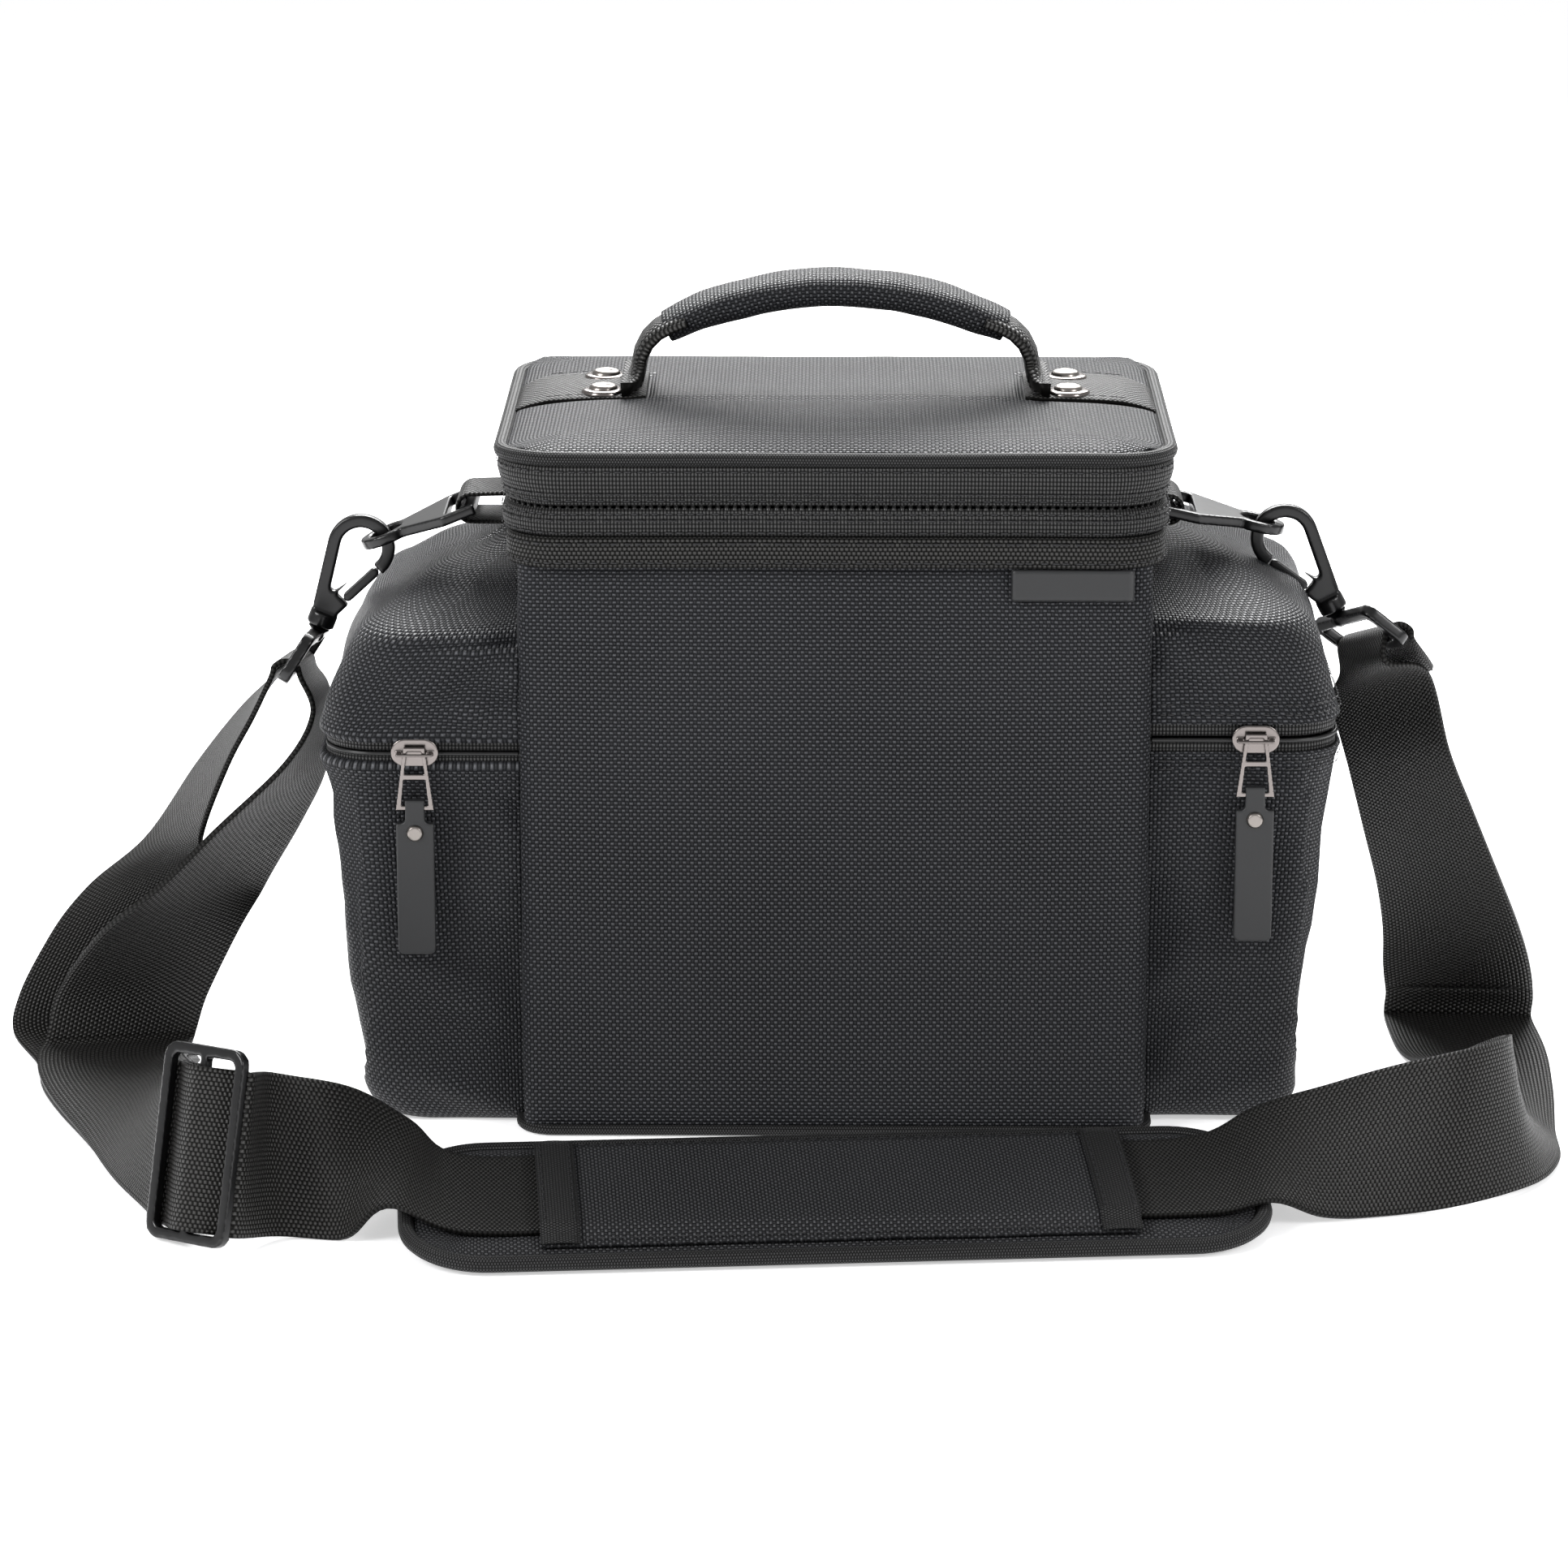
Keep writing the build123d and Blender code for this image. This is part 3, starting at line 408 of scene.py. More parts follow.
def stitches(name, line, normals, length=2.6, gap=1.0, radius=0.32):
    """Row of short raised stitches along a line of points, each beside its normal."""
    points, faces = [], []
    travelled, next_at = 0.0, gap
    for k in range(len(line) - 1):
        p, q = Vector(line[k]), Vector(line[k + 1])
        span = (q - p).length
        if span < 1e-6:
            continue
        way = (q - p) / span
        while next_at + length <= travelled + span + 1e-9 or next_at <= travelled + span:
            t = next_at - travelled
            middle = p + way * min(t + length / 2, span)
            normal = Vector(normals[k]).normalized()
            across = way.cross(normal).normalized()
            base = len(points)
            for along, wide, high in ((-0.5, 0, 0), (-0.3, 1, 0.2), (-0.3, 0, 1), (-0.3, -1, 0.2),
                                      (0.3, 1, 0.2), (0.3, 0, 1), (0.3, -1, 0.2), (0.5, 0, 0)):
                points.append(middle + way * along * length + across * wide * radius + normal * high * radius)
            for face in ((0, 2, 1), (0, 3, 2), (1, 2, 5, 4), (2, 3, 6, 5), (4, 5, 7), (5, 6, 7), (0, 1, 3),
                         (1, 4, 6, 3), (4, 7, 6)):
                faces.append(tuple(base + i for i in face))
            next_at += length + gap
        travelled += span
    return mesh_piece(name, points, faces, [(0.0, 0.0)] * len(points), THREAD)


def wrinkle(x, y, z, size, seed):
    """Smooth noise from -1 to 1 with folds of about the given size."""
    return noise.noise(Vector((x / size + seed, y / size + 3.7 * seed, z / size - seed)))


FINE = {"run_x": 60, "run_y": 40}               # steps along the long and the short sides
RIM_LOOP = (102.0, 74.6, 16)                    # half width, half depth and corner radius
ZIP_LOOP = (104.0, 75.0, 20)
LID_HALF = (103.8, 74.4)
SHELL_NODES = ["front_panel", "back_panel", "left_side_panel", "right_side_panel", "base_panel"]


# ---- body shell ----
def body_push(x, y, z):
    """Foam walls stand a little proud in the middle of each face."""
    u = max(-1.0, min(1.0, x / 96 if abs(y) > 66 else y / 68))
    v = max(-1.0, min(1.0, (z - 95) / 92))
    crown = (1 - u ** 4) * (1 - abs(v) ** 5)
    slack = wrinkle(x, y, z, 55, 2.0) * 0.7 + wrinkle(x, y, z * 0.6, 24, 5.0) * 0.25
    return 1.0 + crown * (1.1 + slack) - 1.3 * (1 - crown)


SHELL = [(-9.0, 0.35), (-2.5, 0.35), (-0.6, 1.2), (0.0, 3.4)] + \
        [(0.0, 8 + 179.0 * k / 44) for k in range(45)] + [(-0.5, 188.4)]
shell_rows = []
for outward, z in SHELL:
    row = []
    for x, y, (nx, ny) in rounded_loop(99.6, 72.6, 5.0, **FINE):
        push = body_push(x, y, z) if 3 < z < 187.5 else 0.0
        row.append((x + nx * (outward + push), y + ny * (outward + push), z))
    shell_rows.append(row)
floor_row = [(x * 0.5, y * 0.5, 0.5) for x, y, z in shell_rows[0]]
centre_row = [(x * 0.02, y * 0.02, 0.5) for x, y, z in shell_rows[0]]
body_shell = grid("body_shell", [centre_row, floor_row] + shell_rows, NYLON, thick=1.2, offset=-1)
place(body_shell, "bag", "shell_cloth", *SHELL_NODES)

foot_line = [(x + nx * 0.6, y + ny * 0.6, 2.0) for x, y, (nx, ny) in rounded_loop(99.8, 72.8, 10)][:-1]
base_piping = tube("base_binding", foot_line, 1.7, BINDING, closed=True)
place(base_piping, "bag", "piping", "base_piping")

# ---- rim webbing, zip tapes and coils ----
def sag(x, y, z):
    """Slow waver of the band round the opening."""
    return wrinkle(x, y, z, 60, 9.0) * 0.8


rim = grid("rim_webbing", ring_rows(
    [(-0.6, 186.6), (0.7, 186.9), (1.0, 188.2), (0.9, 191.5), (1.0, 194.8), (0.5, 196.3), (-1.2, 196.6)],
    *RIM_LOOP, push=sag, **FINE), WEBBING, thick=0.9, offset=-1, turn=True)
lower_tape = grid("lower_tape", ring_rows(
    [(-2.4, 196.2), (-0.6, 196.9), (0.2, 198.6), (0.5, 201.6), (0.15, 203.4), (-0.5, 204.9), (-1.2, 205.5)],
    *ZIP_LOOP, push=sag, **FINE), TAPE, thick=0.9, offset=-1, turn=True)
upper_tape = grid("upper_tape", ring_rows(
    [(-1.2, 206.4), (-0.5, 207.0), (-0.1, 208.4), (0.4, 210.6), (1.4, 213.0), (2.0, 215.4), (1.8, 218.2),
     (0.6, 220.4)],
    *ZIP_LOOP, push=sag, **FINE), TAPE, thick=0.9, offset=-1, turn=True)


def zip_teeth(name, line, way_out, z, lift):
    """Coil turns set square to the tape's edge."""
    points, faces = [], []
    travelled, next_at, pitch = 0.0, 0.0, 2.6
    for k in range(len(line) - 1):
        p, q = Vector(line[k]), Vector(line[k + 1])
        span = (q - p).length
        way = (q - p) / span if span > 1e-9 else Vector((1, 0, 0))
        while next_at <= travelled + span:
            at = p + way * (next_at - travelled)
            out = Vector(way_out[k])
            base = len(points)
            for end in (0, 1):
                for a in range(8):
                    angle = 2 * pi * a / 8
                    points.append(at + way * cos(angle) * 0.72 + out * sin(angle) * 0.72
                                  + Vector((0, 0, z + (lift if end else -lift * 0.15))))
            for a in range(8):
                b = (a + 1) % 8
                faces.append((base + a, base + b, base + 8 + b, base + 8 + a))
            faces += [tuple(base + a for a in range(7, -1, -1)), tuple(base + 8 + a for a in range(8))]
            next_at += pitch
        travelled += span
    return mesh_piece(name, points, faces, [(0, 0)] * len(points), COIL_PLASTIC)


coil_loop = rounded_loop(102.3, 73.3, 18.3)
coil_line = [(x, y, 0) for x, y, n in coil_loop]
coil_out = [(n[0], n[1], 0) for x, y, n in coil_loop]
lower_coil = zip_teeth("lower_coil", coil_line, coil_out, 205.6, -2.4)
upper_coil = zip_teeth("upper_coil", coil_line, coil_out, 206.4, 2.4)


def band_stitches(name, loop, z, outward):
    """Row of stitches round the opening, which wavers as its band does."""
    line = [(x + n[0] * (outward + sag(x, y, z)), y + n[1] * (outward + sag(x, y, z)), z) for x, y, n in loop]
    return stitches(name, line, [(*n, 0) for x, y, n in loop])


zip_loop, rim_loop = rounded_loop(*ZIP_LOOP, **FINE), rounded_loop(*RIM_LOOP, **FINE)
rows_low = [band_stitches(f"zip_row_{int(z)}", zip_loop, z, outward)
            for z, outward in ((203.9, 0.35), (201.9, 0.75), (198.0, 0.4))]
rows_low += [band_stitches(f"rim_row_{int(z)}", rim_loop, z, 1.35) for z in (188.6, 194.6)]
rows_high = [band_stitches(f"zip_row_{int(z)}", zip_loop, z, outward)
             for z, outward in ((208.0, 0.0), (210.2, 0.5), (217.6, 2.1))]
rim_stitches, lid_stitches = join("rim_stitches", rows_low), join("lid_stitches", rows_high)
place(rim, "bag", "webbing", "rim_band")
place(lower_tape, "bag", "zip_tape", "lower_zip_tape")
place(lower_coil, "bag", "zip_coil", "lower_zip_coil")
place(rim_stitches, "bag", "webbing")
place(upper_tape, "lid", "zip_tape", "upper_zip_tape")
place(lid_stitches, "lid", "zip_tape")
place(upper_coil, "lid", "zip_coil", "upper_zip_coil")

# ---- inside of the bag ----
def liner_push(x, y, z):
    """Padded lining swells between its seams."""
    return -0.5 - 0.9 * sin(pi * clamp(z / 195)) * (1 + 0.5 * wrinkle(x, y, z, 30, 4))


liner_profile = [(0, 196.5), (0.6, 195), (0.2, 192)]
liner_profile += [(0, 192 - 180 * k / 26) for k in range(1, 27)] + [(-2.2, 10.9)]
liner_rows = ring_rows(liner_profile, 91.9, 64.9, 8, push=liner_push, run_x=40, run_y=30)
liner_rows += [[(x * s, y * s, 10.9 + 0.4 * (1 - s)) for x, y, z in liner_rows[-1]] for s in (0.9, 0.5, 0.02)]
liner = grid("inside_lining", liner_rows, LINING, thick=0.8, offset=1, flip=True)
place(liner, "bag", "lining", "inner_lining", "base_padding")
wall_top = grid("wall_top", ring_rows([(6.3, 195.0), (5.6, 198.4), (3.0, 199.6), (0.6, 198.8), (0.0, 195.5)],
                                      91.9, 64.9, 9, run_x=40, run_y=30), LINING)
place(wall_top, "bag", "foam", "wall_padding")

divider_rows = []
for k in range(25):
    z = 10.9 + 160 * k / 24
    end = min(1.0, (171.2 - z) / 4 + 0.25)
    half = 3.7 * sqrt(max(0.05, end)) * (0.86 + 0.14 * sin(pi * k / 24))
    outline = []
    for j in range(49):
        a = 2 * pi * j / 48
        ca, sa = cos(a), sin(a)
        outline.append((32 + half * abs(ca) ** 0.6 * sign(ca), 63.2 * abs(sa) ** 0.18 * sign(sa), z))
    divider_rows.append(outline)
divider_rows.append([(32 + (x - 32) * 0.05, y * 0.97, 171.4) for x, y, z in divider_rows[-1]])
divider = grid("padded_wall", divider_rows, LINING)
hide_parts("padded_divider")
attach(divider, "bag")

hinge_rows = [[(x, 76.0 + 0.7 * sin(pi * (z - 188) / 15.6) + 0.4 * wrinkle(x, 0, z, 18, 3), z)
               for x in range(-52, 53, 4)] for z in (188.2, 190, 193, 196, 199, 201, 202.6, 203.4)]
hinge_cloth = grid("lid_hinge", hinge_rows, NYLON, thick=0.9, offset=-1)
place(hinge_cloth, "bag", "shell_cloth", "lid_hinge_cloth")

# ---- lid ----
WEB_Y, RIVET_X, RIVET_PITCH, LID_EDGE = 14.0, 75.0, 23.0, 221.6


def lid_rise(y):
    """The lid stands slightly higher towards its hinge."""
    return 2.4 * max(0.0, (y + 40) / 115) ** 1.3


def lid_height(x, y):
    """Crowned lid cloth, with a groove at the binding and a soft ridge along the webbing."""
    edge_x, edge_y = 1 - (abs(x) / 103.8) ** 6, 1 - (abs(y) / 74.4) ** 6
    crown = max(0.0, min(edge_x, edge_y)) ** 0.55
    base = LID_EDGE - 0.6 + 5.6 * crown + lid_rise(y)
    base += 0.55 * wrinkle(x, y, 0, 48, 7) * crown + 0.2 * wrinkle(x, y, 0, 20, 8) * crown
    ridge = 0.9 / (1 + ((y + 6.5) / 2.6) ** 2) if abs(x) < 66 else 0.0
    under = -0.9 if abs(x) > 60 and abs(y - WEB_Y) < 21 else 0.0
    return base + ridge * clamp((66 - abs(x)) / 10) + under * crown


def squircle(u, v, half_x, half_y, radius):
    """Maps a square of -1..1 onto a rounded rectangle."""
    x, y = u * half_x, v * half_y
    cx, cy = half_x - radius, half_y - radius
    if abs(x) > cx and abs(y) > cy:
        dx, dy = abs(x) - cx, abs(y) - cy
        far = max(dx, dy)
        span = sqrt(dx * dx + dy * dy)
        if span > 1e-6:
            dx, dy = dx / span * far, dy / span * far
        x, y = (cx + dx) * sign(x), (cy + dy) * sign(y)
    return x, y


def lid_point(u, v):
    """Place on top of the lid."""
    x, y = squircle(u, v, *LID_HALF, 18.6)
    return x, y, lid_height(x, y)


def lid_under(u, v):
    """Place on the padded lining under the lid."""
    x, y = squircle(u, v, 100.8, 71.8, 16)
    drop = 1 - max(abs(u), abs(v)) ** 8
    return x, y, 218.6 - 6.6 * drop ** 0.4 + 0.3 * wrinkle(x, y, 0, 30, 2) * drop


lid_top = grid("lid_top", sheet_rows(72, 100, lid_point), NYLON, thick=1.2, offset=-1)
place(lid_top, "lid", "shell_cloth", "lid_panel")

lid_inside = grid("lid_inside", sheet_rows(32, 44, lid_under), LINING, flip=True)
place(lid_inside, "lid", "lining", "lid_padding", "rivet_backplates")

lid_line = [(x, y, 221.2 + 0.8 * lid_rise(y) + 0.3 * wrinkle(x, y, 0, 40, 6))
            for x, y, n in rounded_loop(104.8, 75.0, 19.6)][:-1]
lid_binding = tube("lid_binding", lid_line, 2.3, BINDING, closed=True, sides=14)
place(lid_binding, "lid", "piping", "lid_piping")

web_parts = []
for s in SIDES.values():
    rows = []
    for k in range(17):
        x = 61 + 42.5 * k / 16
        row = []
        for j in range(17):
            y = WEB_Y - 20 + 40 * j / 16
            z = lid_height(min(x, 96), y) + 1.5 + 0.25 * cos(pi * (y - WEB_Y) / 20)
            if x > 92:
                z = z + (222.4 - z) * ((x - 92) / 11.5) ** 2
            z -= 0.5 * (abs(y - WEB_Y) / 20) ** 6
            row.append((s * x, y, z))
        rows.append(row)
    web_parts.append(grid(f"cross_{s}", rows, WEBBING, thick=1.3, offset=0, flip=s > 0))
    line_far = [(s * x, WEB_Y + side * 17.6, lid_height(min(x, 96), WEB_Y + side * 17.6) + 2.3)
                for side in (-1, 1) for x in range(62, 95, 2)]
    for part in (line_far[:17], line_far[17:]):
        web_parts.append(stitches(f"cross_stitch_{s}_{part[0][1]:.0f}", part, [(0, 0, 1)] * len(part)))
cross_webbing = join("cross_webbing", web_parts)
place(cross_webbing, "lid", "webbing", "lid_webbing")


def lathe(name, profile, foot, axis, material, steps=40):
    """Turned shape: profile lists (radius, height) along the axis from its foot."""
    axis = Vector(axis).normalized()
    side = axis.orthogonal().normalized()
    third = axis.cross(side)
    rows = [[Vector(foot) + side * cos(2 * pi * j / steps) * r + third * sin(2 * pi * j / steps) * r + axis * h
             for j in range(steps + 1)] for r, h in profile]
    return grid(name, rows, material, flip=True)


WASHER = [(0.1, 0.9), (5, 0.9), (6.4, 0.75), (7.0, 0.35), (7.1, -0.4)]
CAP = [(0.05, 1.5), (0.7, 1.52), (1.3, 1.7), (1.8, 2.0), (2.4, 2.25), (3.0, 2.3), (3.6, 2.15), (4.2, 1.8),
       (4.6, 1.3), (4.7, 0.6)]
rivet_parts = []
for s in SIDES.values():
    for e in (-1, 1):
        y = WEB_Y + e * RIVET_PITCH / 2
        foot = (s * RIVET_X, y, lid_height(RIVET_X, y) + 1.9)
        rivet_parts.append(lathe(f"washer_{s}_{e}", WASHER, foot, (0, 0, 1), GUN_METAL))
        rivet_parts.append(lathe(f"cap_{s}_{e}", CAP, foot, (0, 0, 1), NICKEL))
rivets = join("handle_rivet_caps", rivet_parts)
place(rivets, "lid", "bright_metal", "handle_rivets")

# ---- handle ----
GRIP_HALF, GRIP_MID = 53.0, 259.6


def grip_frame(x):
    """Centre of the arched grip at a place along it, and the direction square to it."""
    slope = Vector((1, 0, -24.0 * x / GRIP_HALF ** 2)).normalized()
    return Vector((x, WEB_Y, GRIP_MID - 12.0 * (x / GRIP_HALF) ** 2)), Vector((-slope.z, 0, slope.x))


grip_rows = []
for k in range(65):
    t = -1 + 2 * k / 64
    x = t * 54.5
    centre, rise = grip_frame(x)
    full = 1 - 0.18 * abs(t) ** 6
    row = []
    for j in range(33):
        a = 2 * pi * j / 32 - pi / 2
        wide = 13.2 * full * abs(cos(a)) ** 0.75 * sign(cos(a))
        high = (6.0 if sin(a) > 0 else 5.4) * full * abs(sin(a)) ** 0.8 * sign(sin(a))
        crease = 0.35 * wrinkle(x, wide, high, 9, 1.5) + 0.5 * wrinkle(x * 1.2, wide * 0.4, 0, 22, 6)
        high += crease * (0.6 + abs(t))
        if abs(j - 16) > 15:
            high += 0.9
        row.append(centre + Vector((0, wide, 0)) + rise * high)
    grip_rows.append(row)
grip = grid("grip_wrap", grip_rows, NYLON_FINE, thick=1.1, offset=-1)
grip_core = []
for k in range(41):
    centre, rise = grip_frame(-54.0 + 108 * k / 40)
    grip_core.append([centre + Vector((0, 11.3 * cos(2 * pi * j / 20), 0)) + rise * 3.6 * sin(2 * pi * j / 20)
                      for j in range(21)])
core = grid("grip_core", grip_core, WEBBING)
place(grip, "handle", "grip_cloth", "handle_grip")
place(core, "handle", "foam", "handle_core")

LEG_LINE = [(69.0, 229.7), (66.0, 229.9), (63.9, 231.2), (63.0, 234.4), (62.4, 238.4), (60.4, 242.4),
            (57.2, 245.6), (53.0, 247.9), (48.0, 249.9)]        # (x, z) from the lid up to the grip
leg_parts = []
for s in SIDES.values():
    path = [Vector((s * x, WEB_Y, z)) for x, z in LEG_LINE]
    rows = []
    for k in range(len(path) * 3 - 2):
        i, f = min(k // 3, len(path) - 2), (k - 3 * min(k // 3, len(path) - 2)) / 3
        p = path[i].lerp(path[i + 1], f)
        way = (path[i + 1] - path[i]).normalized()
        rise = Vector((-way.z, 0, way.x)) * s
        t = k / (len(path) * 3 - 3)
        half = 19.6 - 8.2 * clamp((t - 0.12) / 0.3) ** 0.8
        fold = 2.6 * clamp((t - 0.1) / 0.3)
        row = []
        for j in range(25):
            v = -1 + j / 12
            row.append(p + Vector((0, half * sin(v * pi / 2), 0)) + rise * (fold * (abs(v) ** 3) - fold * 0.4))
        rows.append(row)
    leg_parts.append(grid(f"leg_{s}", rows, WEBBING, thick=4.4, offset=0, flip=s < 0))
legs = join("handle_legs", leg_parts)
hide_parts("handle_webbing")
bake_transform(legs)

# ---- blank name patch ----
def patch_point(u, v):
    """Place on the patch: a raised field inside a thin groove, and a turned rim."""
    x, z = squircle(u, v, 19.2, 5.2, 0.8)
    edge = max(abs(u), abs(v))
    return 74 + x, -75.6 + (0.7 if edge > 0.97 else 0) - (0.25 if 0.9 > edge > 0.86 else 0), 181.4 + z


patch = grid("blank_patch", sheet_rows(14, 40, patch_point), RUBBER, thick=0.8, offset=-1)
place(patch, "bag", "shell_cloth", "name_patch")

# ---- side pockets ----
POCKET_ZIP = {"left": 125.5, "right": 130.5}


def pocket_slice(s, x_in, x_out, y_front, y_back, radius, z):
    """Open outline of a pocket at one level, from the body's front edge round to its back edge."""
    r = max(1.0, min(radius, x_out - x_in - 1.0, (y_back - y_front) / 2 - 1))
    out = []
    for k in range(19):
        out.append((x_in + (x_out - r - x_in) * k / 18, y_front, (0, -1)))
    for k in range(1, 11):
        a = radians(-90 + 9 * k)
        out.append((x_out - r + r * cos(a), y_front + r + r * sin(a), (cos(a), sin(a))))
    for k in range(1, 31):
        out.append((x_out, y_front + r + (y_back - y_front - 2 * r) * k / 30, (1, 0)))
    for k in range(1, 11):
        a = radians(9 * k)
        out.append((x_out - r + r * cos(a), y_back - r + r * sin(a), (cos(a), sin(a))))
    for k in range(1, 19):
        out.append((x_out - r - (x_out - r - x_in) * k / 18, y_back, (0, 1)))
    return [(s * x, y, z, (s * nx, ny)) for x, y, (nx, ny) in out]


def smooth_through(knots, steps):
    """Points on a smooth line through rows of numbers."""
    out = []
    for i in range(len(knots) - 1):
        a, b = knots[max(i - 1, 0)], knots[i]
        c, d = knots[i + 1], knots[min(i + 2, len(knots) - 1)]
        for k in range(steps):
            t = k / steps
            out.append([0.5 * (2 * q + (r - p) * t + (2 * p - 5 * q + 4 * r - w) * t * t
                               + (3 * q - p - 3 * r + w) * t ** 3) for p, q, r, w in zip(a, b, c, d)])
    out.append(list(knots[-1]))
    return out


def pocket_rows(s, knots, steps, push):
    """Rows of a pocket half; each knot is (z, x out, y front, y back, radius, x in)."""
    rows = []
    for z, x_out, y_front, y_back, radius, x_in in smooth_through(knots, steps):
        row = []
        for x, y, _, (nx, ny) in pocket_slice(s, x_in, x_out, y_front, y_back, radius, z):
            out = push(x, y, z)
            row.append((x + nx * out, y + ny * out, z))
        rows.append(row)
    return rows


for side, s in SIDES.items():
    zip_z = POCKET_ZIP[side]
    seed = 3.0 if s < 0 else 11.0

    def near_seam(x):
        """One at the body seam, nothing 45 mm away from it."""
        return clamp(1 - (abs(x) - 101) / 45)

    def tub_push(x, y, z):
        """Loose cloth: creases run out from the body seam, the middle fills."""
        crease = wrinkle(abs(x) * 0.5, y * 0.4, z * 1.5 - abs(x) * 0.6, 15, seed) * (0.7 + 3.2 * near_seam(x))
        tuck = -1.6 * near_seam(x) * (0.5 + 0.5 * sin(z / 7.5 + seed))
        broad = wrinkle(x, y, z, 32, seed + 2) * 2.0
        calm = clamp((zip_z - 4 - z) / 14) * clamp(z / 12)
        return (crease + tuck + broad - (2.0 if abs(x) > 150 else 0.0)) * calm

    out_x = 161.0 if s < 0 else 159.0
    tub_knots = [(2.6, 118, -30, 30, 8, 98), (1.2, 136, -50, 48, 12, 98), (2.4, 144, -57, 55, 13, 98),
                 (8, 149, -61, 59, 14, 98), (20, out_x - 9, -63.5, 61.5, 15, 98),
                 (45, out_x - 5, -65, 63, 16, 98),
                 (85, out_x - 2, -65.5, 63.5, 16, 98), (zip_z - 14, out_x, -66, 64, 16, 98),
                 (zip_z - 7.2, out_x + 1.2, -67, 65, 17, 98), (zip_z - 5.0, out_x + 1.8, -67.6, 65.6, 17.4, 98),
                 (zip_z - 4.4, out_x + 0.8, -66.8, 64.6, 16.8, 98)]
    tub = grid(f"{side}_pocket_cloth", pocket_rows(s, tub_knots, 6, tub_push), NYLON_FINE, thick=1.6,
               offset=-s, flip=s < 0)

    ridge = 162.0 if s < 0 else 168.0

    def hood_push(x, y, z):
        """Cover cloth: deep folds fan out from the corner at the body seam."""
        t = clamp((z - zip_z - 5) / 12) * clamp((184 - z) / 8)
        crease = wrinkle(abs(x) * 0.9 - z * 0.5, y * 0.35, z * 1.1 + abs(x) * 0.5, 13, seed + 5)
        broad = wrinkle(x, y, z, 30, seed + 7) * 2.0
        valley = -3.5 * near_seam(x) ** 2 if z > ridge - 4 and y < 20 else 0.0
        return (broad + crease * (0.6 + 3.4 * near_seam(x)) + valley) * t

    hood_knots = [(zip_z + 4.4, out_x + 0.6, -66.8, 64.6, 16.8, 98),
                  (zip_z + 5.0, out_x + 1.4, -67.4, 65.4, 17.2, 98),
                  (zip_z + 9, out_x, -66.8, 64.8, 17, 98), (zip_z + 14, out_x - 1.6, -66.6, 64.4, 17, 98),
                  (ridge - 10, 153.5, -66.2, 63.6, 17, 98), (ridge - 3, 150.0, -65.4, 62.8, 17, 98),
                  (ridge, 147.0, -62.0, 62.0, 17, 98), (ridge + 2.2, 142.5, -52.0, 61.0, 18, 98),
                  (ridge + 5.4, 136.0, -34.0, 60.0, 18, 98), (ridge + 9.0, 127.0, -14.0, 59.0, 14, 98),
                  (ridge + 12.0, 116.0, 6.0, 58.0, 9, 98), (182.8, 103.0, 26.0, 56.0, 1.5, 97.8)]
    hood = grid(f"{side}_cover_cloth", pocket_rows(s, hood_knots, 6, hood_push), NYLON_FINE, thick=1.6,
                offset=-s, flip=s < 0)

    def band_piece(name, z_low, z_high, outward, material, bow=0.4):
        """Tape strip that follows the pocket's outline."""
        rows = []
        for k in range(6):
            z = z_low + (z_high - z_low) * k / 5
            out = outward + bow * sin(pi * k / 5)
            rows.append([(x + n[0] * out, y + n[1] * out, z)
                         for x, y, _, n in pocket_slice(s, 98, out_x - 0.4, -65.6, 63.6, 16, z)])
        return grid(name, rows, material, thick=0.8, offset=-s, turn=True, flip=s < 0)

    low_tape = band_piece(f"{side}_lower_pocket_tape", zip_z - 6.5, zip_z - 0.4, 0.2, TAPE)
    high_tape = band_piece(f"{side}_upper_pocket_tape", zip_z + 0.4, zip_z + 6.5, 0.2, TAPE)
    coil_path = [(x + n[0] * 0.7, y + n[1] * 0.7, z) for x, y, z, n in
                 pocket_slice(s, 100, out_x - 0.4, -65.6, 63.6, 16, zip_z - 0.9)]
    coil = tube(f"{side}_pocket_coil", coil_path, 0.75, COIL_PLASTIC, sides=8)
    hems = {"low": [], "high": []}
    for z, out, half in ((zip_z - 7.4, 1.5, "low"), (zip_z + 7.6, 1.4, "high"), (zip_z - 10.2, 0.9, "low"),
                         (zip_z + 10.6, 0.6, "high")):
        level = pocket_slice(s, 101, out_x, -66.0, 64.0, 16, z)
        line = [(x + n[0] * out, y + n[1] * out, z) for x, y, _, n in level]
        hems[half].append(stitches(f"{side}_hem_{int(z)}", line, [(*n, 0) for x, y, _, n in level], radius=0.3))
    low_hem, high_hem = join(f"{side}_pocket_hem", hems["low"]), join(f"{side}_cover_hem", hems["high"])
    cover = f"{side}_pocket_cover"
    place(tub, "bag", "shell_cloth", f"{side}_pocket_tub")
    place(hood, cover, "shell_cloth", f"{side}_pocket_hood")
    place(low_tape, "bag", "zip_tape", f"{side}_pocket_lower_tape")
    place(high_tape, cover, "zip_tape", f"{side}_pocket_upper_tape")
    place(coil, "bag", "zip_coil")
    place(low_hem, "bag", "shell_cloth")
    place(high_hem, cover, "shell_cloth")

# ---- hardware ----
def cast(name, material, voxel, rounds):
    """Rounds a hard frame part as castings and drawn wire are rounded."""
    piece = NODES[name]
    piece.data.materials.clear()
    piece.data.materials.append(material)
    remesh = piece.modifiers.new("grain", "REMESH")
    remesh.mode, remesh.voxel_size, remesh.use_smooth_shade = "VOXEL", voxel * MM, True
    ease = piece.modifiers.new("round", "SMOOTH")
    ease.factor, ease.iterations = 0.5, rounds


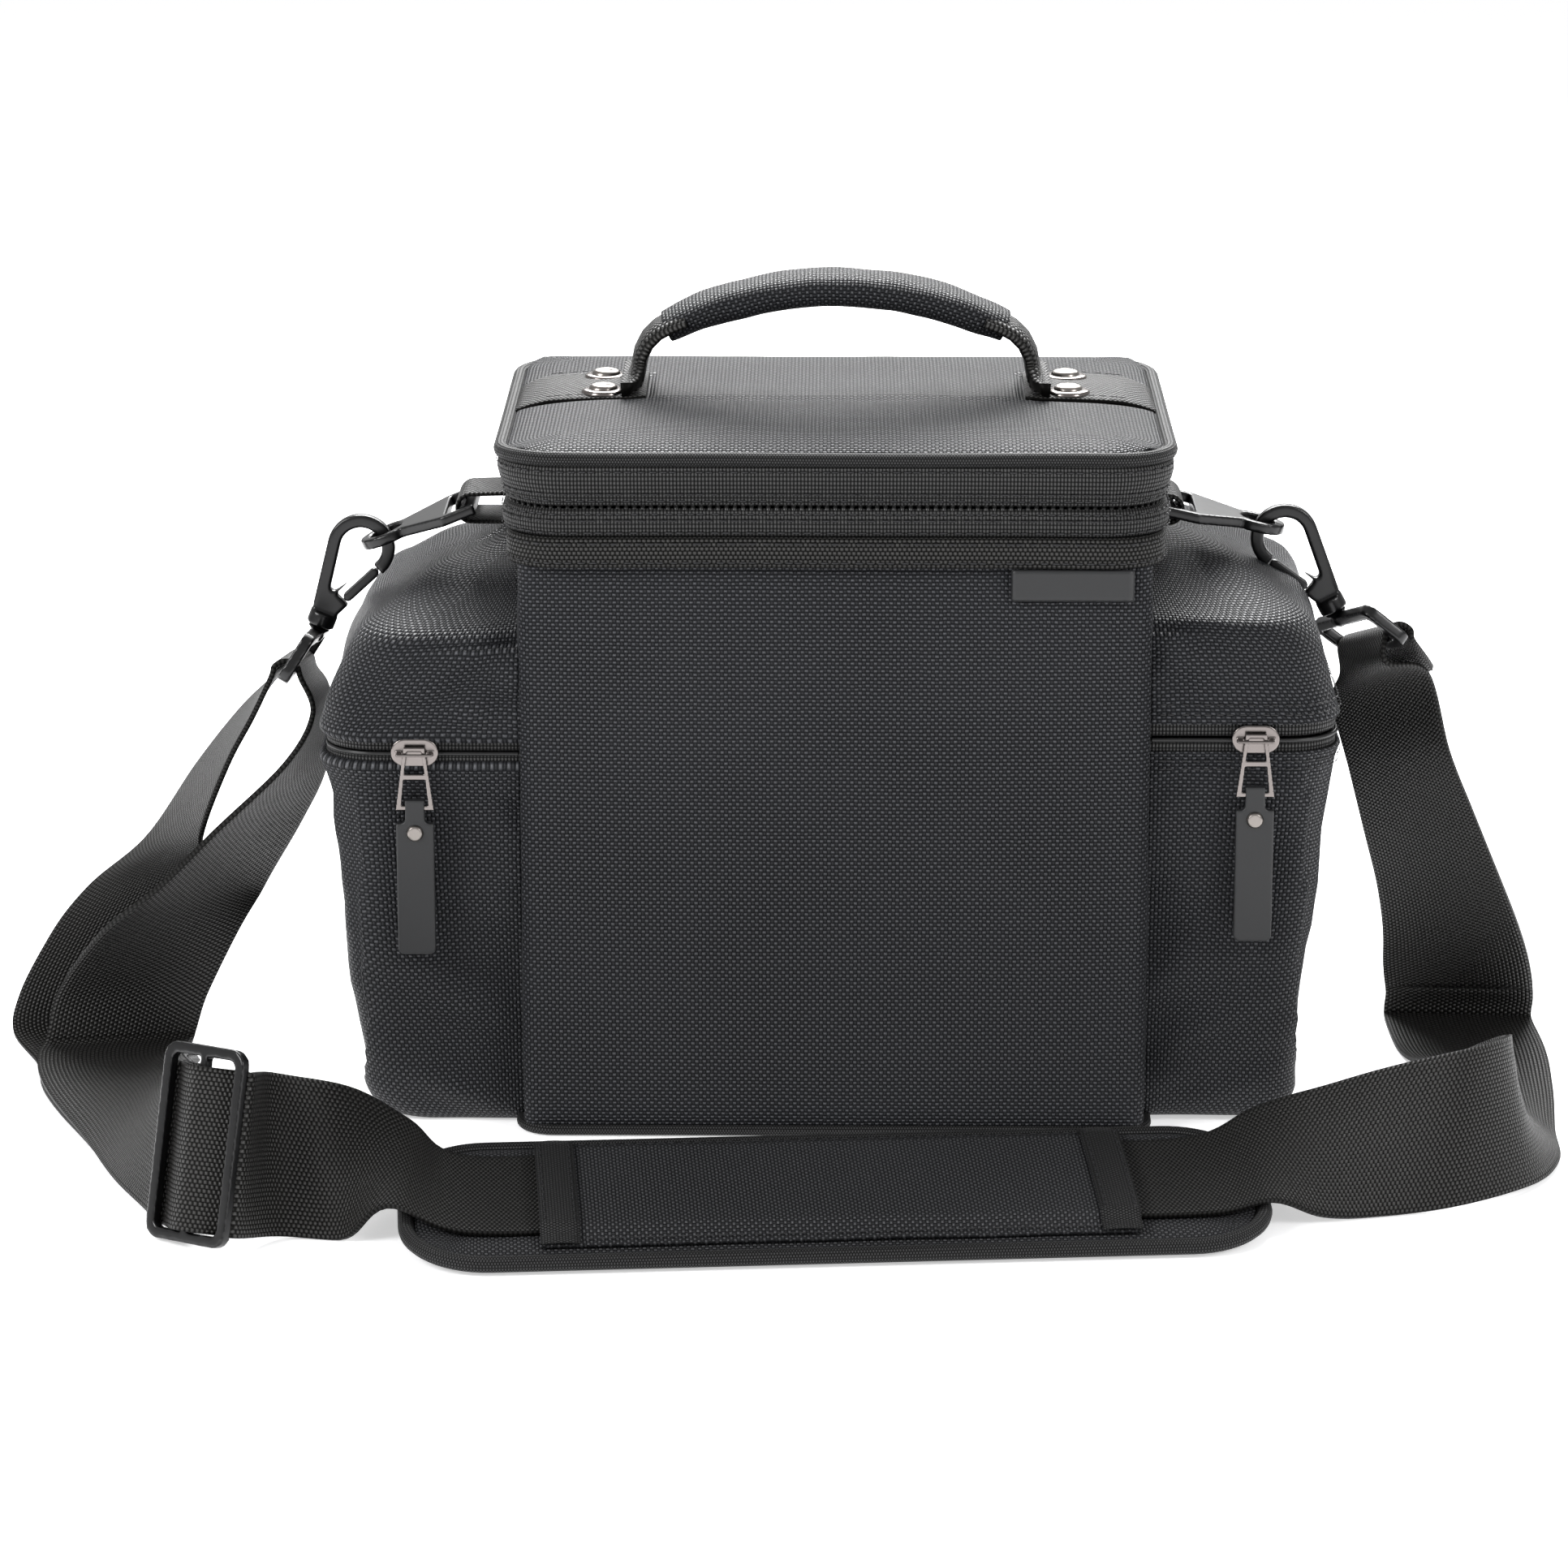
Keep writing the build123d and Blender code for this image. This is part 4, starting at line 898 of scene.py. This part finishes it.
CASTINGS = [("strap_ring", BLACK_METAL, 0.45, 10), ("snap_hook", BLACK_METAL, 0.45, 10),
            ("hook_gate", BLACK_METAL, 0.35, 10), ("bail", BLACK_METAL, 0.45, 10),
            ("pocket_slider", GUN_METAL, 0.28, 4), ("pocket_link", GUN_METAL, 0.25, 4),
            ("main_slider", GUN_METAL, 0.28, 4), ("main_link", GUN_METAL, 0.25, 4),
            ("pull_rivet", NICKEL, 0.25, 4), ("pull_tab", RUBBER, 0.35, 4)]
for side in SIDES:
    for part, material, voxel, rounds in CASTINGS:
        cast(f"{side}_{part}", material, voxel, rounds)
cast("strap_buckle", BLACK_METAL, 0.45, 10)

# ---- webbing loops of the strap rings ----
PIVOTS = {"left": (117.5, 192.0), "right": (107.5, 192.0)}
for side, s in SIDES.items():
    px, pz = PIVOTS[side]
    outline = [(s * 101.5, pz + 4.8), (s * 103.4, pz + 4.8)]
    outline += [(s * (px + 4.3 * cos(radians(a))), pz + 4.5 * sin(radians(a))) for a in range(90, -91, -15)]
    outline += [(s * 103.4, pz - 4.5), (s * 101.5, pz - 4.5)]
    rows = [[(x, -12.4 + 24.8 * j / 12, z) for j in range(13)] for x, z in outline]
    ring_loop = grid(f"{side}_ring_webbing", rows, WEBBING, thick=1.5, offset=0, flip=s > 0)
    ease = ring_loop.modifiers.new("soft", "SUBSURF")
    ease.levels = ease.render_levels = 1
    place(ring_loop, "bag", "webbing", f"{side}_ring_loop")

# ---- shoulder pad and its sleeve ----
PAD_LEAN, PAD_YAW = radians(8), radians(4.9)
PAD_WIDTH, STRAP_WIDTH, STRAP_THICK = 76.0, 50.0, 1.7
PAD_OUTLINE = (130.2, 37.2, 25)     # half length, half width and corner radius, inside the binding
PAD_ALONG = Vector((cos(PAD_YAW), sin(PAD_YAW), 0))
PAD_NORMAL = Vector((sin(PAD_YAW) * sin(PAD_LEAN), -cos(PAD_YAW) * sin(PAD_LEAN), cos(PAD_LEAN)))
PAD_SIDE = PAD_NORMAL.cross(PAD_ALONG)
PAD_PLACE = Vector((0, -156, PAD_WIDTH / 2 * sin(PAD_LEAN)))
STRAP_LIFT = 6.3 + STRAP_THICK / 2


def pad_point(x, y, z):
    """Point given along, across and above the pad's underside."""
    return PAD_PLACE + PAD_ALONG * x + PAD_SIDE * y + PAD_NORMAL * z


def pad_face(name, height, flip):
    """One face of the pad; height(x, y, e) is its level, and e is 1 at the edge."""
    def point(u, v):
        x, y = squircle(u, v, *PAD_OUTLINE)
        return pad_point(x, y, height(x, y, max(abs(u), abs(v))))
    return grid(name, sheet_rows(32, 96, point), PAD_CLOTH, flip=flip)


pad_top = pad_face("pad_top", lambda x, y, e: 3.0 + 3.1 * (1 - e ** 6) ** 0.5 + 0.25 * wrinkle(x, y, 0, 26, 4),
                   flip=False)
pad_low = pad_face("pad_low", lambda x, y, e: 3.0 - 2.2 * (1 - e ** 6) ** 0.5, flip=True)
pad_body = join("pad_body", [pad_top, pad_low])
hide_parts("shoulder_pad")
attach(pad_body, "bag")
edge_line = [pad_point(x, y, 3.4) for x, y, n in rounded_loop(130.4, 37.4, 25, corner=14)][:-1]
pad_binding = tube("pad_binding", edge_line, 2.5, BINDING, closed=True, up=PAD_NORMAL)
place(pad_binding, "bag", "piping")


def sleeve_z(y):
    """Height of the sleeve's cloth over the strap at a place across it."""
    if abs(y) > 28.5:
        return 6.6 + 0.7 * max(0.0, 1 - (abs(y) - 28.5) / 4.5)
    return 9.6 + 0.5 * (1 - (y / 28) ** 2) - 2.4 * max(0.0, (abs(y) - 25.5) / 3.0) ** 1.4


def sleeve_point(v, u):
    """Place on the sleeve; u runs along the pad and v across it."""
    x, y = 90 * u, 33 * v
    end = max(0.0, (abs(x) - 78) / 12)
    return pad_point(x, y, sleeve_z(y) + 0.35 * wrinkle(x, y, 0, 30, 12) * (1 - end) + 0.15)


sleeve = grid("pad_sleeve_cloth", sheet_rows(72, 36, sleeve_point), PAD_CLOTH, thick=0.9, offset=1)
hem_parts = []
for e in (-1, 1):
    rows = []
    for k in range(6):
        x = e * (78.5 + 12 * k / 5)
        high = 0.95 + 0.45 * sin(pi * k / 5)
        rows.append([pad_point(x, 33.4 * v, sleeve_z(33 * v) + high) for v in (-1 + j / 18 for j in range(37))])
    hem_parts.append(grid(f"sleeve_hem_{e}", rows, BINDING, thick=0.7, offset=0, turn=True, flip=e < 0))
    for x in (80.0, 89.0):
        line = [pad_point(e * x, y, sleeve_z(y) + 1.5) for y in range(-31, 32, 2)]
        hem_parts.append(stitches(f"sleeve_stitch_{e}_{int(x)}", line, [PAD_NORMAL] * len(line)))
for y in (-30.8, 30.8):
    line = [pad_point(x, y, sleeve_z(y) + 0.85) for x in range(-78, 79, 3)]
    hem_parts.append(stitches(f"sleeve_side_{int(y)}", line, [PAD_NORMAL] * len(line)))
sleeve_hems = join("pad_sleeve_hems", hem_parts)
place(sleeve, "bag", "grip_cloth", "pad_sleeve")
place(sleeve_hems, "bag", "grip_cloth")

# ---- shoulder strap ----
BUCKLE_UP = Vector((0.11, 0.26, 0.96)).normalized()
BUCKLE_ALONG = Vector((0.78, -0.63, 0))
BUCKLE_ALONG = (BUCKLE_ALONG - BUCKLE_UP * BUCKLE_ALONG.dot(BUCKLE_UP)).normalized()
BUCKLE_OUT = BUCKLE_ALONG.cross(BUCKLE_UP)
BUCKLE_SIDE = BUCKLE_OUT.cross(BUCKLE_ALONG)
BUCKLE_PLACE = Vector((-192, -172, 30.5))
# Each clip: foot and tip of the ring's line, the bail bar's direction, the way the bar hangs, slip along it.
CLIPS = {"left": ((-166.5, 0, 154.5), (-153, 0, 188), (0, -0.985, 0.17), (-0.53, 0, -0.85), 0),
         "right": ((160.5, 0, 160), (143.5, 0, 191.5), (0.20, -0.93, 0.30), (0.74, 0.05, -0.62), 4)}
# The runs list the two edges of the webbing at each station, in the order it is threaded.
RIGHT_RUN = [
    ((167, 16, 131), (177, -30.5, 146)),
    ((165, 23, 119), (192, -15, 139)), ((172, 30, 95), (200, -8, 111)),
    ((178, 38, 71), (210, 2, 88)), ((184, 45, 49), (220, 13, 64)), ((187, 50, 30), (229, 26, 42)),
    ((188, 53, 12), (238, 47, 13)), ((188, 54, 4), (238, 50, 4)), ((188, 51, 1.2), (238, 46, 1.2)),
    ((189, 25, 1.2), (238, 20, 1.2)), ((192, 0, 3), (236, -24, 1.2)), ((199, -33, 14), (231, -70, 1.2)),
    ((206, -65, 29), (228, -100, 1.2)), ((212, -95, 42), (215, -125, 1.2)), ((197, -116, 44), (192, -141, 1)),
    ((172, -116, 37), (167, -149, 1)), ((152, -114, 30), (150, -155, 3)), ((131, -114, 23), (134, -161, 10)),
]
LEFT_RUN = [
    ((-132, -128, 23), (-135, -175, 12.4)), ((-155, -146, 40), (-150, -172, 2)),
    ((-172, -152, 47), (-168, -172, 1)),
]
TABLE_RUN = [
    ((-198, -128, 43), (-208, -157, 2)), ((-204, -92, 33), (-222, -128, 2)), ((-206, -48, 19), (-240, -82, 2)),
    ((-212, -14, 6), (-260, -30, 2.2)), ((-215, 2, 3), (-265, -4, 2.4)),
]
INNER_RISE = [
    ((-214, 15, 6), (-264, 6, 6)), ((-209, 18, 20), (-260, 10, 22)), ((-198, 19, 44), (-244, 0, 44)),
    ((-190, 25, 57), (-223, -13, 64)), ((-178, 24, 78), (-203, -20, 85)), ((-169, 22, 99), (-178, -26, 110)),
    ((-168, 23, 122), (-168.5, -26, 127)),
]
OUTER_FALL = [
    ((-196, 24, 117), (-188, -24, 126)), ((-212, 24, 97), (-197, -22, 109)), ((-230, 27, 70), (-208, -12, 82)),
    ((-250, 31, 52), (-210, 11, 66)), ((-264, 27, 36), (-215, 22, 44)), ((-274, 22, 18), (-224, 26, 22)),
    ((-276, 16, 6), (-226, 23, 6)),
]


def on_buckle(along, out):
    """Edge pair of the webbing where it weaves through the buckle."""
    centre = BUCKLE_PLACE + BUCKLE_ALONG * along + BUCKLE_OUT * out
    return tuple(centre + BUCKLE_SIDE * (half * STRAP_WIDTH / 2 - 1.2) for half in (1, -1))


def on_pad(along):
    """Edge pair of the webbing where it lies on the pad."""
    return tuple(pad_point(along, half * STRAP_WIDTH / 2 + 1, STRAP_LIFT) for half in (1, -1))


def web_frames(pairs):
    """Centre, edge direction and forward direction of every pair."""
    centres = [(Vector(a) + Vector(b)) * 0.5 for a, b in pairs]
    edges = [(Vector(b) - Vector(a)).normalized() for a, b in pairs]
    frames = []
    for k, (centre, edge) in enumerate(zip(centres, edges)):
        forward = centres[min(k + 1, len(pairs) - 1)] - centres[max(k - 1, 0)]
        forward = (forward - edge * forward.dot(edge)).normalized()
        frames.append((centre, edge, forward))
    return frames


def layer(pairs, offset):
    """The same stretch moved square to the webbing by an offset."""
    moved = []
    for centre, edge, forward in web_frames(pairs):
        shift = edge.cross(forward) * offset
        half = edge * (STRAP_WIDTH / 2)
        moved.append((centre - half + shift, centre + half + shift))
    return moved


BAR_STEPS, BAR_RADIUS = 5, 4.8      # stations of the webbing round a bail bar, and how far out they are


def over_bar(side, start, turn_by):
    """Edge pairs of the webbing round a bail bar, from one side to the other."""
    foot, tip, bar, turn, slip = CLIPS[side]
    up, bar, turn = (Vector(tip) - Vector(foot)).normalized(), Vector(bar).normalized(), Vector(turn)
    turn = (turn - bar * turn.dot(bar)).normalized()
    centre = Vector(foot) - up * 7.8 + bar * slip + turn * 14.0
    across = Vector((0, 0, 1)).cross(bar).normalized()
    rise = bar.cross(across)
    pairs = []
    for k in range(BAR_STEPS):
        angle = radians(start + turn_by * k / (BAR_STEPS - 1))
        spot = centre + (across * cos(angle) + rise * sin(angle)) * BAR_RADIUS
        pairs.append((spot - bar * (STRAP_WIDTH / 2), spot + bar * (STRAP_WIDTH / 2)))
    return pairs


def strap_piece(name, pairs, first, last, length_before):
    """Webbing between two stations of the whole run; returns it and its length."""
    flat = [[*a, *b] for a, b in pairs]
    steps = 8
    line = smooth_through(flat, steps)[first * steps:last * steps + 1]
    rows, travelled, previous = [], length_before, None
    for numbers in line:
        a, b = Vector(numbers[:3]), Vector(numbers[3:])
        centre, edge = (a + b) / 2, (b - a).normalized()
        if previous is not None:
            travelled += (centre - previous).length
        previous = centre
        rows.append([centre + edge * STRAP_WIDTH * (j / 20 - 0.5) for j in range(21)])
    return grid(name, rows, WEBBING, thick=STRAP_THICK, offset=0, start=length_before * MM), travelled


WEAVE = [(16.5, -3.0), (12.2, -3.0), (3.2, 3.0), (-3.2, 3.0), (-12.2, -3.0), (-16.5, -3.0)]
right_end = layer(RIGHT_RUN[1:3], 3.0)[:1] + over_bar("right", -12, 184)
route = right_end + RIGHT_RUN
route += [on_pad(u) for u in (112, 60, 0, -60, -112)] + LEFT_RUN + [on_buckle(*step) for step in WEAVE]
before_left = len(route)
route += layer(TABLE_RUN, -1.1) + INNER_RISE + over_bar("left", -6, 192) + OUTER_FALL
route += [pair[::-1] for pair in layer(TABLE_RUN, 1.1)[::-1]]
route += [on_buckle(*step)[::-1] for step in ((-16.5, -5.4), (-12.2, -5.4), (-2.5, -3.4))]

split_right = len(right_end) + 6
split_in = before_left + len(TABLE_RUN)
split_out = split_in + len(INNER_RISE) + BAR_STEPS + len(OUTER_FALL)
strap_right, run = strap_piece("strap_right_end", route, 0, split_right, 0.0)
strap_middle, run = strap_piece("strap_run", route, split_right, split_in, run)
strap_left, run = strap_piece("strap_left_end", route, split_in, split_out, run)
strap_return, _ = strap_piece("strap_return", route, split_out, len(route) - 1, run)
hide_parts("shoulder_strap")
for piece in (strap_right, strap_middle, strap_left, strap_return):
    along = [loop.uv[1] for loop in piece.data.uv_layers["cloth"].data]
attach(strap_middle, "bag")
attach(strap_return, "bag")
apply_all(strap_right)
apply_all(strap_left)
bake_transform(strap_right)
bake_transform(strap_left)

# ---- stage ----
floor_data = bpy.data.meshes.new("floor")
floor_data.from_pydata([(-6, -4, 0), (6, -4, 0), (6, 8, 0), (-6, 8, 0)], [], [(0, 1, 2, 3)])
floor = bpy.data.objects.new("floor", floor_data)
bpy.context.collection.objects.link(floor)
floor_look, floor_tree, floor_shader = finish_base("pale_floor", 0.6)
floor_shader.inputs["Base Color"].default_value = (0.93, 0.93, 0.94, 1)
floor_shader.inputs["Emission Color"].default_value = (1, 1, 1, 1)
floor_shader.inputs["Emission Strength"].default_value = 0.5
floor_data.materials.append(floor_look)


def area_light(name, place, target, size, power, colour=(1, 1, 1)):
    """Soft rectangular lamp aimed at a target."""
    lamp = bpy.data.objects.new(name, bpy.data.lights.new(name, "AREA"))
    bpy.context.collection.objects.link(lamp)
    lamp.location = place
    lamp.rotation_euler = (Vector(target) - Vector(place)).to_track_quat("-Z", "Y").to_euler()
    lamp.data.size, lamp.data.energy, lamp.data.color = size, power, colour
    return lamp


area_light("left_softbox", (-1.3, -0.9, 1.1), (0, 0, 0.12), 0.7, 22)
area_light("right_softbox", (1.2, -1.0, 1.0), (0, 0, 0.1), 0.6, 12)
area_light("top_softbox", (0.1, 1.1, 1.25), (0, 0, 0.15), 1.2, 62)
world = bpy.data.worlds.new("studio")
world.use_nodes = True
world.node_tree.nodes["Background"].inputs[0].default_value = (1, 1, 1, 1)
world.node_tree.nodes["Background"].inputs[1].default_value = 0.5
bpy.context.scene.world = world
bpy.context.scene.view_settings.view_transform = "Standard"
